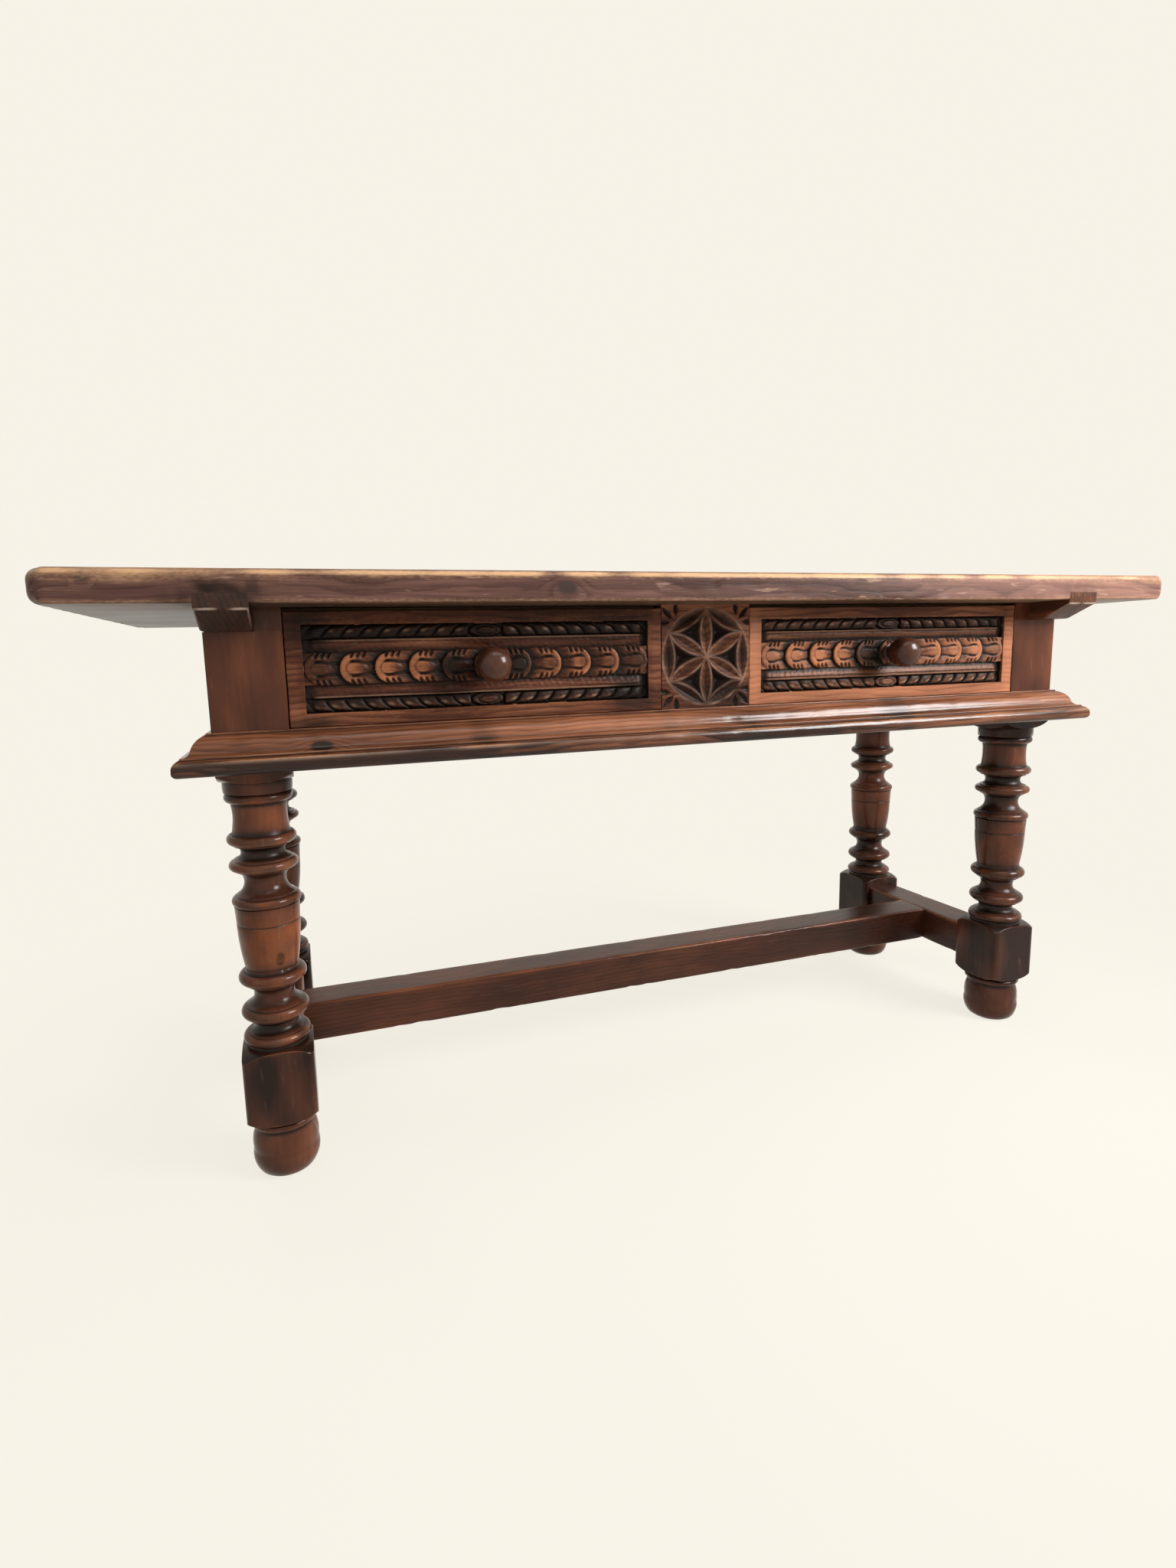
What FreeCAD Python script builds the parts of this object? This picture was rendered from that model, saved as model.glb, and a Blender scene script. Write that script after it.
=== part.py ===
import FreeCAD, Part
import math
import os

# Overall size of the table, in millimetres
table_height = 780.0
top_length = 1636.0
top_depth = 556.0
top_thickness = 38.0
top_corner_radius = 20.0
top_arris = 5.0
top_lower_arris = 2.0
plank_names = ("front", "middle", "rear")

# Frame under the top: four legs joined by aprons and rails
end_overhang = 157.0
side_overhang = 69.0
apron_height = 194.0
apron_thickness = 25.0
front_rail_depth = 60.0
tie_rail_depth = 40.0
tie_rail_thickness = 20.0
tie_rail_lap = 20.0

# Joints: tenons, their shoulders, the air at the end of a mortise, and thin tongues
tenon_length = 30.0
tenon_thickness = 12.0
tenon_shoulder = 10.0
mortise_end_gap = 1.0
tongue_length = 8.0
tongue_thickness = 8.0

# Battens that hold the planks together, let into the underside of the top
batten_width = 57.0
batten_drop = 28.0
batten_housing = 11.0
batten_end_drop = 7.0
batten_slope_length = 45.0

# Legs: square post, turned part, square block and round foot from one length of stock
leg_stock = 89.0
leg_arris = 2.0
foot_height = 80.0
block_height = 101.0
post_shoulder_height = 17.0
ring_radius = 42.0
# Turned pieces have this many flat sides
turning_sides = 24

# Foot: shares of the ring radius and of the foot height
foot_shares = ((0.71, 0.0), (0.91, 0.1), (1.0, 0.5), (0.925, 0.83), (1.02, 0.93))
# Square block with turned shoulders: shares of the stock's corner radius and of the block height
block_shares = ((0.87, 0.11), (1.06, 0.32), (1.06, 0.74), (0.9, 0.9), (0.63, 1.0))
# Turned part: shares of the ring radius and of the height between block and post
lower_ring_shares = ((1.0, 0.02), (1.0, 0.04), (0.86, 0.05), (0.63, 0.081), (0.86, 0.112), (1.0, 0.123),
                     (1.0, 0.138), (0.84, 0.15), (0.6, 0.185), (0.6, 0.207), (0.84, 0.237))
vase_shares = ((1.0, 0.25), (1.0, 0.272), (0.8, 0.286), (0.8, 0.297), (0.925, 0.405), (0.965, 0.534),
               (1.0, 0.556), (0.86, 0.577))
upper_ring_shares = ((0.61, 0.612), (0.61, 0.645), (0.84, 0.669), (1.0, 0.68), (1.0, 0.696), (0.84, 0.708),
                     (0.64, 0.737), (0.84, 0.767), (1.0, 0.779), (1.0, 0.795), (0.83, 0.812))
cap_shares = ((0.82, 0.917), (0.98, 0.935), (1.0, 0.962), (1.0, 1.0))
# Shoulder under the post: shares of the stock's corner radius and of the shoulder height
post_shares = ((0.83, 0.28), (1.06, 1.0))

# Stretchers, an H between the four blocks
stretcher_width = 63.0
stretcher_height = 60.0
stretcher_floor_gap = 102.0
stretcher_arris = 3.0

# Base moulding, mitred round the frame
moulding_height = 48.0
moulding_reach = 41.0
# Outline from the top inner edge: shares of the reach and of the height.
# A step of one point is a line to it, and a step of two is an arc through the first to the second.
moulding_start_shares = (0.0, 1.0)
moulding_shares = (
    ((0.12, 1.0),),
    ((0.12, 0.965),),
    ((0.155, 0.965),),
    ((0.37, 0.845), (0.52, 0.64)),
    ((0.585, 0.525), (0.72, 0.47)),
    ((0.795, 0.47),),
    ((0.795, 0.43),),
    ((0.82, 0.43),),
    ((0.975, 0.3), (1.0, 0.18)),
    ((0.965, 0.05), (0.86, 0.0)),
    ((0.0, 0.0),),
    ((0.0, 1.0),),
)

# Rosette panel between the drawers: six compass-drawn petals chip-carved into a thick board
panel_width = 140.0
panel_thickness = 25.0
panel_tenon_length = 20.0
rosette_margin = 1.5
rosette_ridge = 2.2
petal_count = 6
arc_steps = 3
petal_depth = 4.0
hollow_depth = 6.5

# Drawers
drawer_front_thickness = 24.0
drawer_head_gap = 4.6
drawer_side_gap = 1.2
drawer_running_gap = 0.4
drawer_stop_gap = 0.4
drawer_rear_room = 23.0
drawer_side_thickness = 13.0
drawer_side_drop = 20.0
drawer_back_thickness = 13.0
drawer_back_drop = 8.0
drawer_tail = 10.0
drawer_bottom_thickness = 7.0
drawer_bottom_raise = 9.0
drawer_groove_depth = 6.0
drawer_groove_gap = 0.5
drawer_lap = 14.0

# Carving of a drawer front: a band of scales between two sunk channels,
# each channel with a plain strip, a ridge and a rope bead
carving_end_border = 20.0
scale_band_height = 40.0
strip_height = 13.0
strip_depth = 6.0
ridge_height = 3.0
ridge_depth = 2.5
rope_bed_height = 17.5
rope_bed_depth = 9.0
rope_height = 16.0
rope_crest_height = 8.0
rope_depth = 2.0
rope_shoulder_depth = 4.5

# Turned knobs
knob_radius = 22.0
knob_reach = 54.0
knob_spigot_radius = 7.0
knob_spigot_gap = 0.1
# Outline from the drawer face outwards: shares of the ball radius and of the reach
knob_shares = ((0.59, 0.0), (0.59, 0.05), (0.45, 0.12), (0.52, 0.19), (0.82, 0.31), (0.98, 0.47), (1.0, 0.6),
               (0.95, 0.76), (0.74, 0.9), (0.4, 1.0))

# Runners, guides, kickers and stops of the drawers
runner_thickness = 18.0
runner_inner_width = 32.0
runner_outer_width = 24.0
centre_runner_width = 200.0
guide_thickness = 17.0
guide_height = 20.0
guide_gap = 0.8
kicker_width = 24.0
centre_kicker_width = 190.0
stop_width = 30.0
stop_height = 16.0

# One overrun serves all cuts
cut_overrun = 5.0

# Heights and places worked out from the sizes above
top_underside = table_height - top_thickness
apron_bottom = top_underside - apron_height
rail_top = apron_bottom + moulding_height
batten_bottom = top_underside - batten_drop
batten_top = top_underside + batten_housing
end_face = top_length / 2 - end_overhang
rear_face = top_depth / 2 - side_overhang
front_face = -rear_face
leg_half = leg_stock / 2
leg_x = end_face - leg_half
leg_y = rear_face - leg_half
leg_inner_x = end_face - leg_stock
leg_inner_y = rear_face - leg_stock
stock_corner_radius = leg_half * math.sqrt(2)
batten_inner_x = end_face - batten_width
apron_mid_x = end_face - apron_thickness / 2
back_apron_face = rear_face - apron_thickness
rail_back = front_face + front_rail_depth
panel_half = panel_width / 2
rosette_radius = min(panel_width, top_underside - rail_top) / 2 - rosette_margin
panel_back = front_face + panel_thickness
tie_rail_back = panel_back + tie_rail_depth
tie_rail_bottom = top_underside - tie_rail_thickness
stretcher_top = stretcher_floor_gap + stretcher_height
stretcher_inner_x = leg_x - stretcher_width / 2
runner_bottom = rail_top - runner_thickness
drawer_low = rail_top + drawer_running_gap
drawer_half = (leg_inner_x - panel_half) / 2 - drawer_side_gap
drawer_front_back = front_face + drawer_front_thickness
drawer_rear = back_apron_face - drawer_rear_room
drawer_front_height = top_underside - drawer_head_gap - drawer_low
drawer_side_height = drawer_front_height - drawer_side_drop
drawer_mid_z = drawer_low + drawer_front_height / 2
field_half = drawer_half - carving_end_border

origin = FreeCAD.Vector(0, 0, 0)
x_axis = FreeCAD.Vector(1, 0, 0)
y_axis = FreeCAD.Vector(0, 1, 0)
up = FreeCAD.Vector(0, 0, 1)
parts = {}


def box(x0, x1, y0, y1, z0, z1):
    low = FreeCAD.Vector(min(x0, x1), min(y0, y1), min(z0, z1))
    return Part.makeBox(abs(x1 - x0), abs(y1 - y0), abs(z1 - z0), low)


def fused(*shapes):
    return shapes[0].multiFuse(list(shapes[1:])).removeSplitter()


def mirrored_x(shape):
    return shape.mirror(origin, x_axis)


def mirrored_y(shape):
    return shape.mirror(origin, y_axis)


def add_pair(name, right):
    parts[name + "_right"] = right
    parts[name + "_left"] = mirrored_x(right)


def add_outline(edges, last, steps, place):
    # Adds the steps of an outline to the edges and gives the point where it ends
    for step in steps:
        points = [place(*pair) for pair in step]
        if len(points) == 1:
            edges.append(Part.LineSegment(last, points[0]).toShape())
        else:
            edges.append(Part.Arc(last, points[0], points[1]).toShape())
        last = points[-1]
    return last


def prism(corners, run):
    # A board with the corners as its outline, run straight along a vector
    return Part.Face(Part.makePolygon(corners + corners[:1])).extrude(run)


def turned(outline):
    # A turned piece about Z, from an outline of radii and heights, with flat ends
    rings = []
    for radius, height in outline:
        ring = []
        for index in range(turning_sides):
            angle = math.pi * (2 * index + 1) / turning_sides
            ring.append(FreeCAD.Vector(radius * math.cos(angle), radius * math.sin(angle), height))
        rings.append(ring)
    faces = [Part.Face(Part.makePolygon(ring + ring[:1])) for ring in (rings[0], rings[-1])]
    for low, high in zip(rings, rings[1:]):
        for index in range(turning_sides):
            corners = [low[index - 1], low[index], high[index], high[index - 1], low[index - 1]]
            faces.append(Part.Face(Part.makePolygon(corners)))
    return Part.Solid(Part.Shell(faces))


def edges_along(shape, direction):
    edges = []
    for edge in shape.Edges:
        tangent = edge.tangentAt(edge.FirstParameter)
        if tangent.cross(direction).Length < Part.Precision.confusion():
            edges.append(edge)
    return edges


def tenon_along_x(face, extra, y_mid, z0, z1):
    end = face + tenon_length + extra
    half = tenon_thickness / 2
    return box(face, end, y_mid - half, y_mid + half, z0, z1)


def tenon_along_y(side, face, extra, x_mid, z0, z1):
    end = face + tenon_length + extra
    half = tenon_thickness / 2
    return box(x_mid - half, x_mid + half, side * face, side * end, z0, z1)


def front_rail_tenon(extra):
    low = apron_bottom + tenon_shoulder
    middle = (front_face + rail_back) / 2
    return tenon_along_x(leg_inner_x, extra, middle, low, rail_top - tenon_shoulder)


def back_apron_tenon(extra):
    low = apron_bottom + tenon_shoulder
    middle = (back_apron_face + rear_face) / 2
    return tenon_along_x(leg_inner_x, extra, middle, low, top_underside - tenon_shoulder)


def side_apron_tenon(side, extra):
    low = apron_bottom + tenon_shoulder
    return tenon_along_y(side, leg_inner_y, extra, apron_mid_x, low, batten_bottom - tenon_shoulder)


def side_stretcher_tenon(side, extra):
    low = stretcher_floor_gap + tenon_shoulder
    return tenon_along_y(side, leg_inner_y, extra, leg_x, low, stretcher_top - tenon_shoulder)


def centre_stretcher_tenon(extra):
    low = stretcher_floor_gap + tenon_shoulder
    return tenon_along_x(stretcher_inner_x, extra, 0, low, stretcher_top - tenon_shoulder)


def panel_tenon(extra):
    middle = (front_face + panel_back) / 2
    half = panel_half - tenon_shoulder
    low = rail_top - panel_tenon_length - extra
    return box(-half, half, middle - tenon_thickness / 2, middle + tenon_thickness / 2, low, rail_top)


def runner_lanes():
    # Where each runner meets the front rail and the back apron
    inner = leg_inner_x - runner_inner_width
    half = centre_runner_width / 2
    return {"left": (-leg_inner_x, -inner), "centre": (-half, half), "right": (inner, leg_inner_x)}


def runner_tongues(lane, extra):
    low = (runner_bottom + rail_top - tongue_thickness) / 2
    high = low + tongue_thickness
    reach = tongue_length + extra
    front = box(lane[0], lane[1], rail_back - reach, rail_back, low, high)
    rear = box(lane[0], lane[1], back_apron_face, back_apron_face + reach, low, high)
    return front, rear


def make_top():
    half_length = top_length / 2
    half_depth = top_depth / 2
    slab = box(-half_length, half_length, -half_depth, half_depth, top_underside, table_height)
    slab = slab.makeFillet(top_corner_radius, edges_along(slab, up))
    middle = (top_underside + table_height) / 2
    upper = [edge for edge in slab.Edges if edge.BoundBox.ZMin > middle]
    slab = slab.makeChamfer(top_arris, upper)
    lower = [edge for edge in slab.Edges if edge.BoundBox.ZMax < middle]
    slab = slab.makeChamfer(top_lower_arris, lower)
    reach = half_depth + cut_overrun
    low = top_underside - cut_overrun
    for side in (-1, 1):
        slab = slab.cut(box(side * batten_inner_x, side * end_face, -reach, reach, low, batten_top))
    plank_width = top_depth / len(plank_names)
    for index, name in enumerate(plank_names):
        start = -half_depth + index * plank_width
        lane = box(-half_length, half_length, start, start + plank_width, top_underside, table_height)
        parts["top_plank_" + name] = slab.common(lane)


def make_battens():
    half_depth = top_depth / 2
    slope_start = half_depth - batten_slope_length
    end_low = top_underside - batten_end_drop
    corners = ((-half_depth, batten_top), (half_depth, batten_top), (half_depth, end_low),
               (slope_start, batten_bottom), (-slope_start, batten_bottom), (-half_depth, end_low))
    points = [FreeCAD.Vector(batten_inner_x, y, z) for y, z in corners]
    add_pair("top_batten", prism(points, x_axis * batten_width))


def leg_turning():
    # The lathe's envelope from floor to top. Where it is wider than the stock, the stock stays square.
    block_top = foot_height + block_height
    turned_height = apron_bottom - post_shoulder_height - block_top
    turned_shares = lower_ring_shares + vase_shares + upper_ring_shares + cap_shares
    sections = ((foot_shares, ring_radius, 0, foot_height),
                (block_shares, stock_corner_radius, foot_height, block_height),
                (turned_shares, ring_radius, block_top, turned_height),
                (post_shares, stock_corner_radius, block_top + turned_height, post_shoulder_height))
    outline = []
    for shares, radius, start, height in sections:
        for radius_share, height_share in shares:
            outline.append((radius_share * radius, start + height_share * height))
    outline.append((outline[-1][0], top_underside))
    return turned(outline)


def make_legs():
    stock = box(-leg_half, leg_half, -leg_half, leg_half, 0, top_underside)
    blank = stock.makeChamfer(leg_arris, edges_along(stock, up)).common(leg_turning())
    high = top_underside + cut_overrun
    batten_notch = box(batten_inner_x, end_face + cut_overrun, -top_depth, top_depth, batten_bottom, high)
    tie_rail_notch = box(leg_inner_x - cut_overrun, leg_inner_x + tie_rail_lap, panel_back, tie_rail_back,
                         tie_rail_bottom, high)
    front_cuts = [front_rail_tenon(mortise_end_gap), tie_rail_notch]
    rear_cuts = [back_apron_tenon(mortise_end_gap)]
    for name, side, own_cuts in (("leg_front", -1, front_cuts), ("leg_rear", 1, rear_cuts)):
        leg = blank.copy()
        leg.translate(FreeCAD.Vector(leg_x, side * leg_y, 0))
        mortises = [side_apron_tenon(side, mortise_end_gap), side_stretcher_tenon(side, mortise_end_gap)]
        add_pair(name, leg.cut([batten_notch] + mortises + own_cuts))


def make_aprons_and_rails():
    inner_face = end_face - apron_thickness
    side = box(inner_face, end_face, -leg_inner_y, leg_inner_y, apron_bottom, batten_bottom)
    add_pair("side_apron", fused(side, side_apron_tenon(-1, 0), side_apron_tenon(1, 0)))

    slots = [runner_tongues(lane, mortise_end_gap) for lane in runner_lanes().values()]
    back = box(-leg_inner_x, leg_inner_x, back_apron_face, rear_face, apron_bottom, top_underside)
    back = fused(back, back_apron_tenon(0), mirrored_x(back_apron_tenon(0)))
    parts["back_apron"] = back.cut([rear for front, rear in slots])

    rail = box(-leg_inner_x, leg_inner_x, front_face, rail_back, apron_bottom, rail_top)
    rail = fused(rail, front_rail_tenon(0), mirrored_x(front_rail_tenon(0)))
    rail = rail.cut([front for front, rear in slots])
    parts["front_rail"] = rail.cut(panel_tenon(mortise_end_gap))

    reach = leg_inner_x + tie_rail_lap
    parts["front_tie_rail"] = box(-reach, reach, panel_back, tie_rail_back, tie_rail_bottom, top_underside)


def moulding_run(half_run, face):
    # One length of moulding along X in front of a face, mitred at both ends
    outer_half = half_run + moulding_reach
    outer_face = face + moulding_reach

    def place(reach_share, height_share):
        depth = face + reach_share * moulding_reach
        return FreeCAD.Vector(-outer_half, -depth, apron_bottom + height_share * moulding_height)

    edges = []
    add_outline(edges, place(*moulding_start_shares), moulding_shares, place)
    run = Part.Face(Part.Wire(edges)).extrude(x_axis * (2 * outer_half))
    corners = ((-half_run, face), (half_run, face), (outer_half, outer_face), (-outer_half, outer_face))
    points = [FreeCAD.Vector(x, -y, apron_bottom) for x, y in corners]
    return run.common(prism(points, up * moulding_height))


def make_mouldings():
    front = moulding_run(end_face, rear_face)
    parts["base_moulding_front"] = front
    parts["base_moulding_rear"] = mirrored_y(front)
    right = moulding_run(rear_face, end_face)
    right.rotate(origin, up, 90)
    add_pair("base_moulding", right)


def make_stretchers():
    outer_x = stretcher_inner_x + stretcher_width
    side = box(stretcher_inner_x, outer_x, -leg_inner_y, leg_inner_y, stretcher_floor_gap, stretcher_top)
    side = side.makeChamfer(stretcher_arris, edges_along(side, y_axis))
    side = fused(side, side_stretcher_tenon(-1, 0), side_stretcher_tenon(1, 0))
    add_pair("side_stretcher", side.cut(centre_stretcher_tenon(mortise_end_gap)))
    half = stretcher_width / 2
    centre = box(-stretcher_inner_x, stretcher_inner_x, -half, half, stretcher_floor_gap, stretcher_top)
    centre = centre.makeChamfer(stretcher_arris, edges_along(centre, x_axis))
    tenon = centre_stretcher_tenon(0)
    parts["centre_stretcher"] = fused(centre, tenon, mirrored_x(tenon))


def arc_points(centre, start, end, count):
    # Points along the shorter arc from start up to but not including end
    first = math.atan2(start[1] - centre[1], start[0] - centre[0])
    turn = math.remainder(math.atan2(end[1] - centre[1], end[0] - centre[0]) - first, 2 * math.pi)
    radius = math.dist(centre, start)
    angles = [first + turn * step / count for step in range(count)]
    return [(centre[0] + radius * math.cos(angle), centre[1] + radius * math.sin(angle)) for angle in angles]


def chip(outline, depth):
    # A hollow cut by a knife: flat facets from an outline on the panel's face down to one point.
    # The outline is drawn in by half a ridge, so that a ridge stays between two hollows.
    x = sum(point[0] for point in outline) / len(outline)
    z = sum(point[1] for point in outline) / len(outline)
    rim = []
    for point in outline:
        reach = math.dist(point, (x, z))
        share = (reach - rosette_ridge) / reach
        rim.append(FreeCAD.Vector(x + share * (point[0] - x), front_face, z + share * (point[1] - z)))
    bottom = FreeCAD.Vector(x, front_face + depth, z)
    faces = [Part.Face(Part.makePolygon(rim + rim[:1]))]
    for index, corner in enumerate(rim):
        faces.append(Part.Face(Part.makePolygon([rim[index - 1], corner, bottom, rim[index - 1]])))
    return Part.Solid(Part.Shell(faces))


def rosette_chips(centre_z):
    # Petals, rim lenses and three-sided hollows between arcs of one compass setting
    middle = (0, centre_z)
    tips = []
    for index in range(petal_count):
        angle = math.pi / 2 + 2 * math.pi * index / petal_count
        tips.append((rosette_radius * math.cos(angle), centre_z + rosette_radius * math.sin(angle)))
    chips = []
    for index, tip in enumerate(tips):
        before = tips[index - 1]
        after = tips[(index + 1) % petal_count]
        later = tips[(index + 2) % petal_count]
        beyond = (tip[0] + after[0], tip[1] + after[1] - centre_z)
        petal = arc_points(before, middle, tip, arc_steps) + arc_points(after, tip, middle, arc_steps)
        lens = arc_points(middle, tip, after, arc_steps) + arc_points(beyond, after, tip, arc_steps)
        hollow = arc_points(before, middle, tip, arc_steps) + arc_points(beyond, tip, after, arc_steps)
        hollow += arc_points(later, after, middle, arc_steps)
        chips += [chip(petal, petal_depth), chip(lens, petal_depth), chip(hollow, hollow_depth)]
    return chips


def make_panel():
    panel = box(-panel_half, panel_half, front_face, panel_back, rail_top, top_underside)
    panel = fused(panel, panel_tenon(0))
    parts["rosette_panel"] = panel.cut(rosette_chips((rail_top + top_underside) / 2))


def make_drawer_rails():
    outer_x = leg_inner_x + runner_outer_width
    for name, lane in runner_lanes().items():
        pieces = [box(lane[0], lane[1], rail_back, back_apron_face, runner_bottom, rail_top)]
        pieces += runner_tongues(lane, 0)
        if name != "centre":
            side = math.copysign(1, lane[0])
            pieces.append(box(side * leg_inner_x, side * outer_x, -leg_inner_y, leg_inner_y,
                              runner_bottom, rail_top))
        parts["runner_" + name] = fused(*pieces)

    guide_top = rail_top + guide_height
    outer_start = leg_inner_x + guide_gap
    outer_end = outer_start + guide_thickness
    add_pair("guide", box(outer_start, outer_end, -leg_inner_y, leg_inner_y, rail_top, guide_top))
    centre_end = panel_half - guide_gap
    centre_start = centre_end - guide_thickness
    add_pair("guide_centre", box(centre_start, centre_end, panel_back, back_apron_face, rail_top, guide_top))

    kicker_start = leg_inner_x - kicker_width
    add_pair("kicker", box(kicker_start, leg_inner_x, tie_rail_back, back_apron_face,
                           tie_rail_bottom, top_underside))
    half = centre_kicker_width / 2
    parts["kicker_centre"] = box(-half, half, tie_rail_back, back_apron_face, tie_rail_bottom, top_underside)

    stop_face = drawer_rear + drawer_stop_gap
    stops = []
    for start in (panel_half, leg_inner_x - stop_width):
        stop = box(start, start + stop_width, stop_face, back_apron_face, rail_top, rail_top + stop_height)
        stops += [stop, mirrored_x(stop)]
    parts["drawer_stops"] = Part.makeCompound(stops)


def channel_cuts():
    # Above and below the scales: a plain strip, a low ridge and the bed of a rope bead
    bands = ((strip_height, strip_depth), (ridge_height, ridge_depth), (rope_bed_height, rope_bed_depth))
    open_face = front_face - cut_overrun
    cuts = []
    for side in (-1, 1):
        start = drawer_mid_z + side * scale_band_height / 2
        for height, depth in bands:
            end = start + side * height
            cuts.append(box(-field_half, field_half, open_face, front_face + depth, start, end))
            start = end
    return cuts


def rope_beads():
    # The rounded bars from which the ropes are carved
    reach = scale_band_height / 2 + strip_height + ridge_height + rope_bed_height / 2
    half = rope_height / 2
    crest_half = rope_crest_height / 2
    corners = ((-half, rope_bed_depth), (-half, rope_shoulder_depth), (-crest_half, rope_depth),
               (crest_half, rope_depth), (half, rope_shoulder_depth), (half, rope_bed_depth))
    beads = []
    for side in (-1, 1):
        middle = drawer_mid_z + side * reach
        points = [FreeCAD.Vector(-field_half, front_face + depth, middle + z) for z, depth in corners]
        beads.append(prism(points, x_axis * (2 * field_half)))
    return beads


def drawer_front():
    # A front centred on x = 0, lapped for the sides, grooved for the bottom and bored for the knob
    high = drawer_low + drawer_front_height
    front = box(-drawer_half, drawer_half, front_face, drawer_front_back, drawer_low, high)
    inner = drawer_half - drawer_side_thickness
    outer = drawer_half + cut_overrun
    back = drawer_front_back + cut_overrun
    lap_face = drawer_front_back - drawer_lap
    groove_face = drawer_front_back - drawer_groove_depth
    groove_low = drawer_low + drawer_bottom_raise
    groove_high = groove_low + drawer_bottom_thickness
    hole_base = FreeCAD.Vector(0, front_face - cut_overrun, drawer_mid_z)
    hole_length = drawer_front_thickness + 2 * cut_overrun
    cuts = [Part.makeCylinder(knob_spigot_radius + knob_spigot_gap, hole_length, hole_base, y_axis),
            box(-inner, inner, groove_face, back, groove_low, groove_high)]
    for side in (-1, 1):
        cuts.append(box(side * inner, side * outer, lap_face, back,
                        drawer_low - cut_overrun, drawer_low + drawer_side_height))
    front = front.cut(cuts + channel_cuts())
    return fused(front, *rope_beads())


def drawer_knob():
    # Turned about Z with its spigot below, then laid to point out of the drawer front
    outline = [(knob_spigot_radius, -drawer_front_thickness), (knob_spigot_radius, 0)]
    for radius_share, reach_share in knob_shares:
        outline.append((radius_share * knob_radius, reach_share * knob_reach))
    knob = turned(outline)
    knob.rotate(origin, x_axis, 90)
    knob.translate(FreeCAD.Vector(0, front_face, drawer_mid_z))
    return knob


def make_drawers():
    inner = drawer_half - drawer_side_thickness
    side_top = drawer_low + drawer_side_height
    groove_low = drawer_low + drawer_bottom_raise
    groove_high = groove_low + drawer_bottom_thickness
    lap_face = drawer_front_back - drawer_lap
    side = box(inner, drawer_half, lap_face, drawer_rear, drawer_low, side_top)
    side = side.cut(box(inner - cut_overrun, inner + drawer_groove_depth, front_face,
                        drawer_rear + cut_overrun, groove_low, groove_high))
    back_rear = drawer_rear - drawer_tail
    back_front = back_rear - drawer_back_thickness
    back = box(-inner, inner, back_front, back_rear, groove_high, side_top - drawer_back_drop)
    tuck = drawer_groove_depth - drawer_groove_gap
    bottom = box(-inner - tuck, inner + tuck, drawer_front_back - tuck, back_rear, groove_low, groove_high)
    pieces = {"front": drawer_front(), "side_right": side, "side_left": mirrored_x(side),
              "back": back, "bottom": bottom, "knob": drawer_knob()}
    centre = (leg_inner_x + panel_half) / 2
    for drawer, x in (("left_drawer_", -centre), ("right_drawer_", centre)):
        for name, piece in pieces.items():
            placed = piece.copy()
            placed.translate(FreeCAD.Vector(x, 0, 0))
            parts[drawer + name] = placed


make_top()
make_battens()
make_legs()
make_aprons_and_rails()
make_mouldings()
make_stretchers()
make_panel()
make_drawer_rails()
make_drawers()

os.makedirs("parts", exist_ok=True)
for name, shape in parts.items():
    shape.exportStep("parts/" + name + ".step")
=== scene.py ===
import math

import bmesh
import bpy
import numpy as np
from mathutils import Matrix, Vector


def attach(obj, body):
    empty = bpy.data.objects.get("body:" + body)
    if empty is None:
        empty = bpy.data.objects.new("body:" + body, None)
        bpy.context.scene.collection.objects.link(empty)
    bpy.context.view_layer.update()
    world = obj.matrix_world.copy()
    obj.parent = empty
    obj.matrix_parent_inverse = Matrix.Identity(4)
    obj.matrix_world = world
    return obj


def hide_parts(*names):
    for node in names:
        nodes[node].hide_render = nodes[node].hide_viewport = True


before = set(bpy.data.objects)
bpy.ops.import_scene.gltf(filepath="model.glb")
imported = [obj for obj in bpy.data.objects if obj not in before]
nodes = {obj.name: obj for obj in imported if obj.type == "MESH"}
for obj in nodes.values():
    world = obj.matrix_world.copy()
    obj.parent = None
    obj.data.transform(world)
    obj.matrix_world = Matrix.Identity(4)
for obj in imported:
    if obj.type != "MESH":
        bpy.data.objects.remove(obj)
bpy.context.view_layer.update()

millimetre = 0.001


# small tools: smooth noise, outlines, grids and pieces

def ripple(points, size, seed, waveCount=7):
    # slow waves in all directions, about -1 to 1
    dice = np.random.default_rng(seed)
    total = np.zeros(points.shape[:-1])
    for _ in range(waveCount):
        wave = dice.normal(size=points.shape[-1])
        wave *= 2 * math.pi / size * dice.uniform(0.5, 1.7) / np.linalg.norm(wave)
        total += np.sin(points @ wave + dice.uniform(0, 6.3))
    return total / (waveCount / 2)


def clipped(value):
    return np.clip(value, 0, 1)


def eased(value, low, high):
    # 0 below low, 1 above high and a smooth step between
    share = clipped((value - low) / (high - low))
    return share * share * (3 - 2 * share)


def bell(value, middle, width):
    # 1 at the middle, fading out on both sides
    return np.exp(-((value - middle) / width) ** 2)


def softened(field, reach):
    # blurs heights, so that hollows and crests stand out from the blur
    taps = np.arange(-3 * reach, 3 * reach + 1)
    weights = np.exp(-0.5 * (taps / reach) ** 2)
    weights /= weights.sum()
    for axis in range(field.ndim):
        wide = np.pad(field, [(3 * reach,) * 2 if a == axis else (0, 0) for a in range(field.ndim)], mode="edge")
        field = sum(weight * np.take(wide, np.arange(i, i + field.shape[axis]), axis=axis)
                    for i, weight in enumerate(weights))
    return field


def between(first, last, count):
    # points from one to the other, without the first
    (x0, y0), (x1, y1) = first, last
    return [(x0 + (x1 - x0) * i / count, y0 + (y1 - y0) * i / count) for i in range(1, count + 1)]


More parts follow.
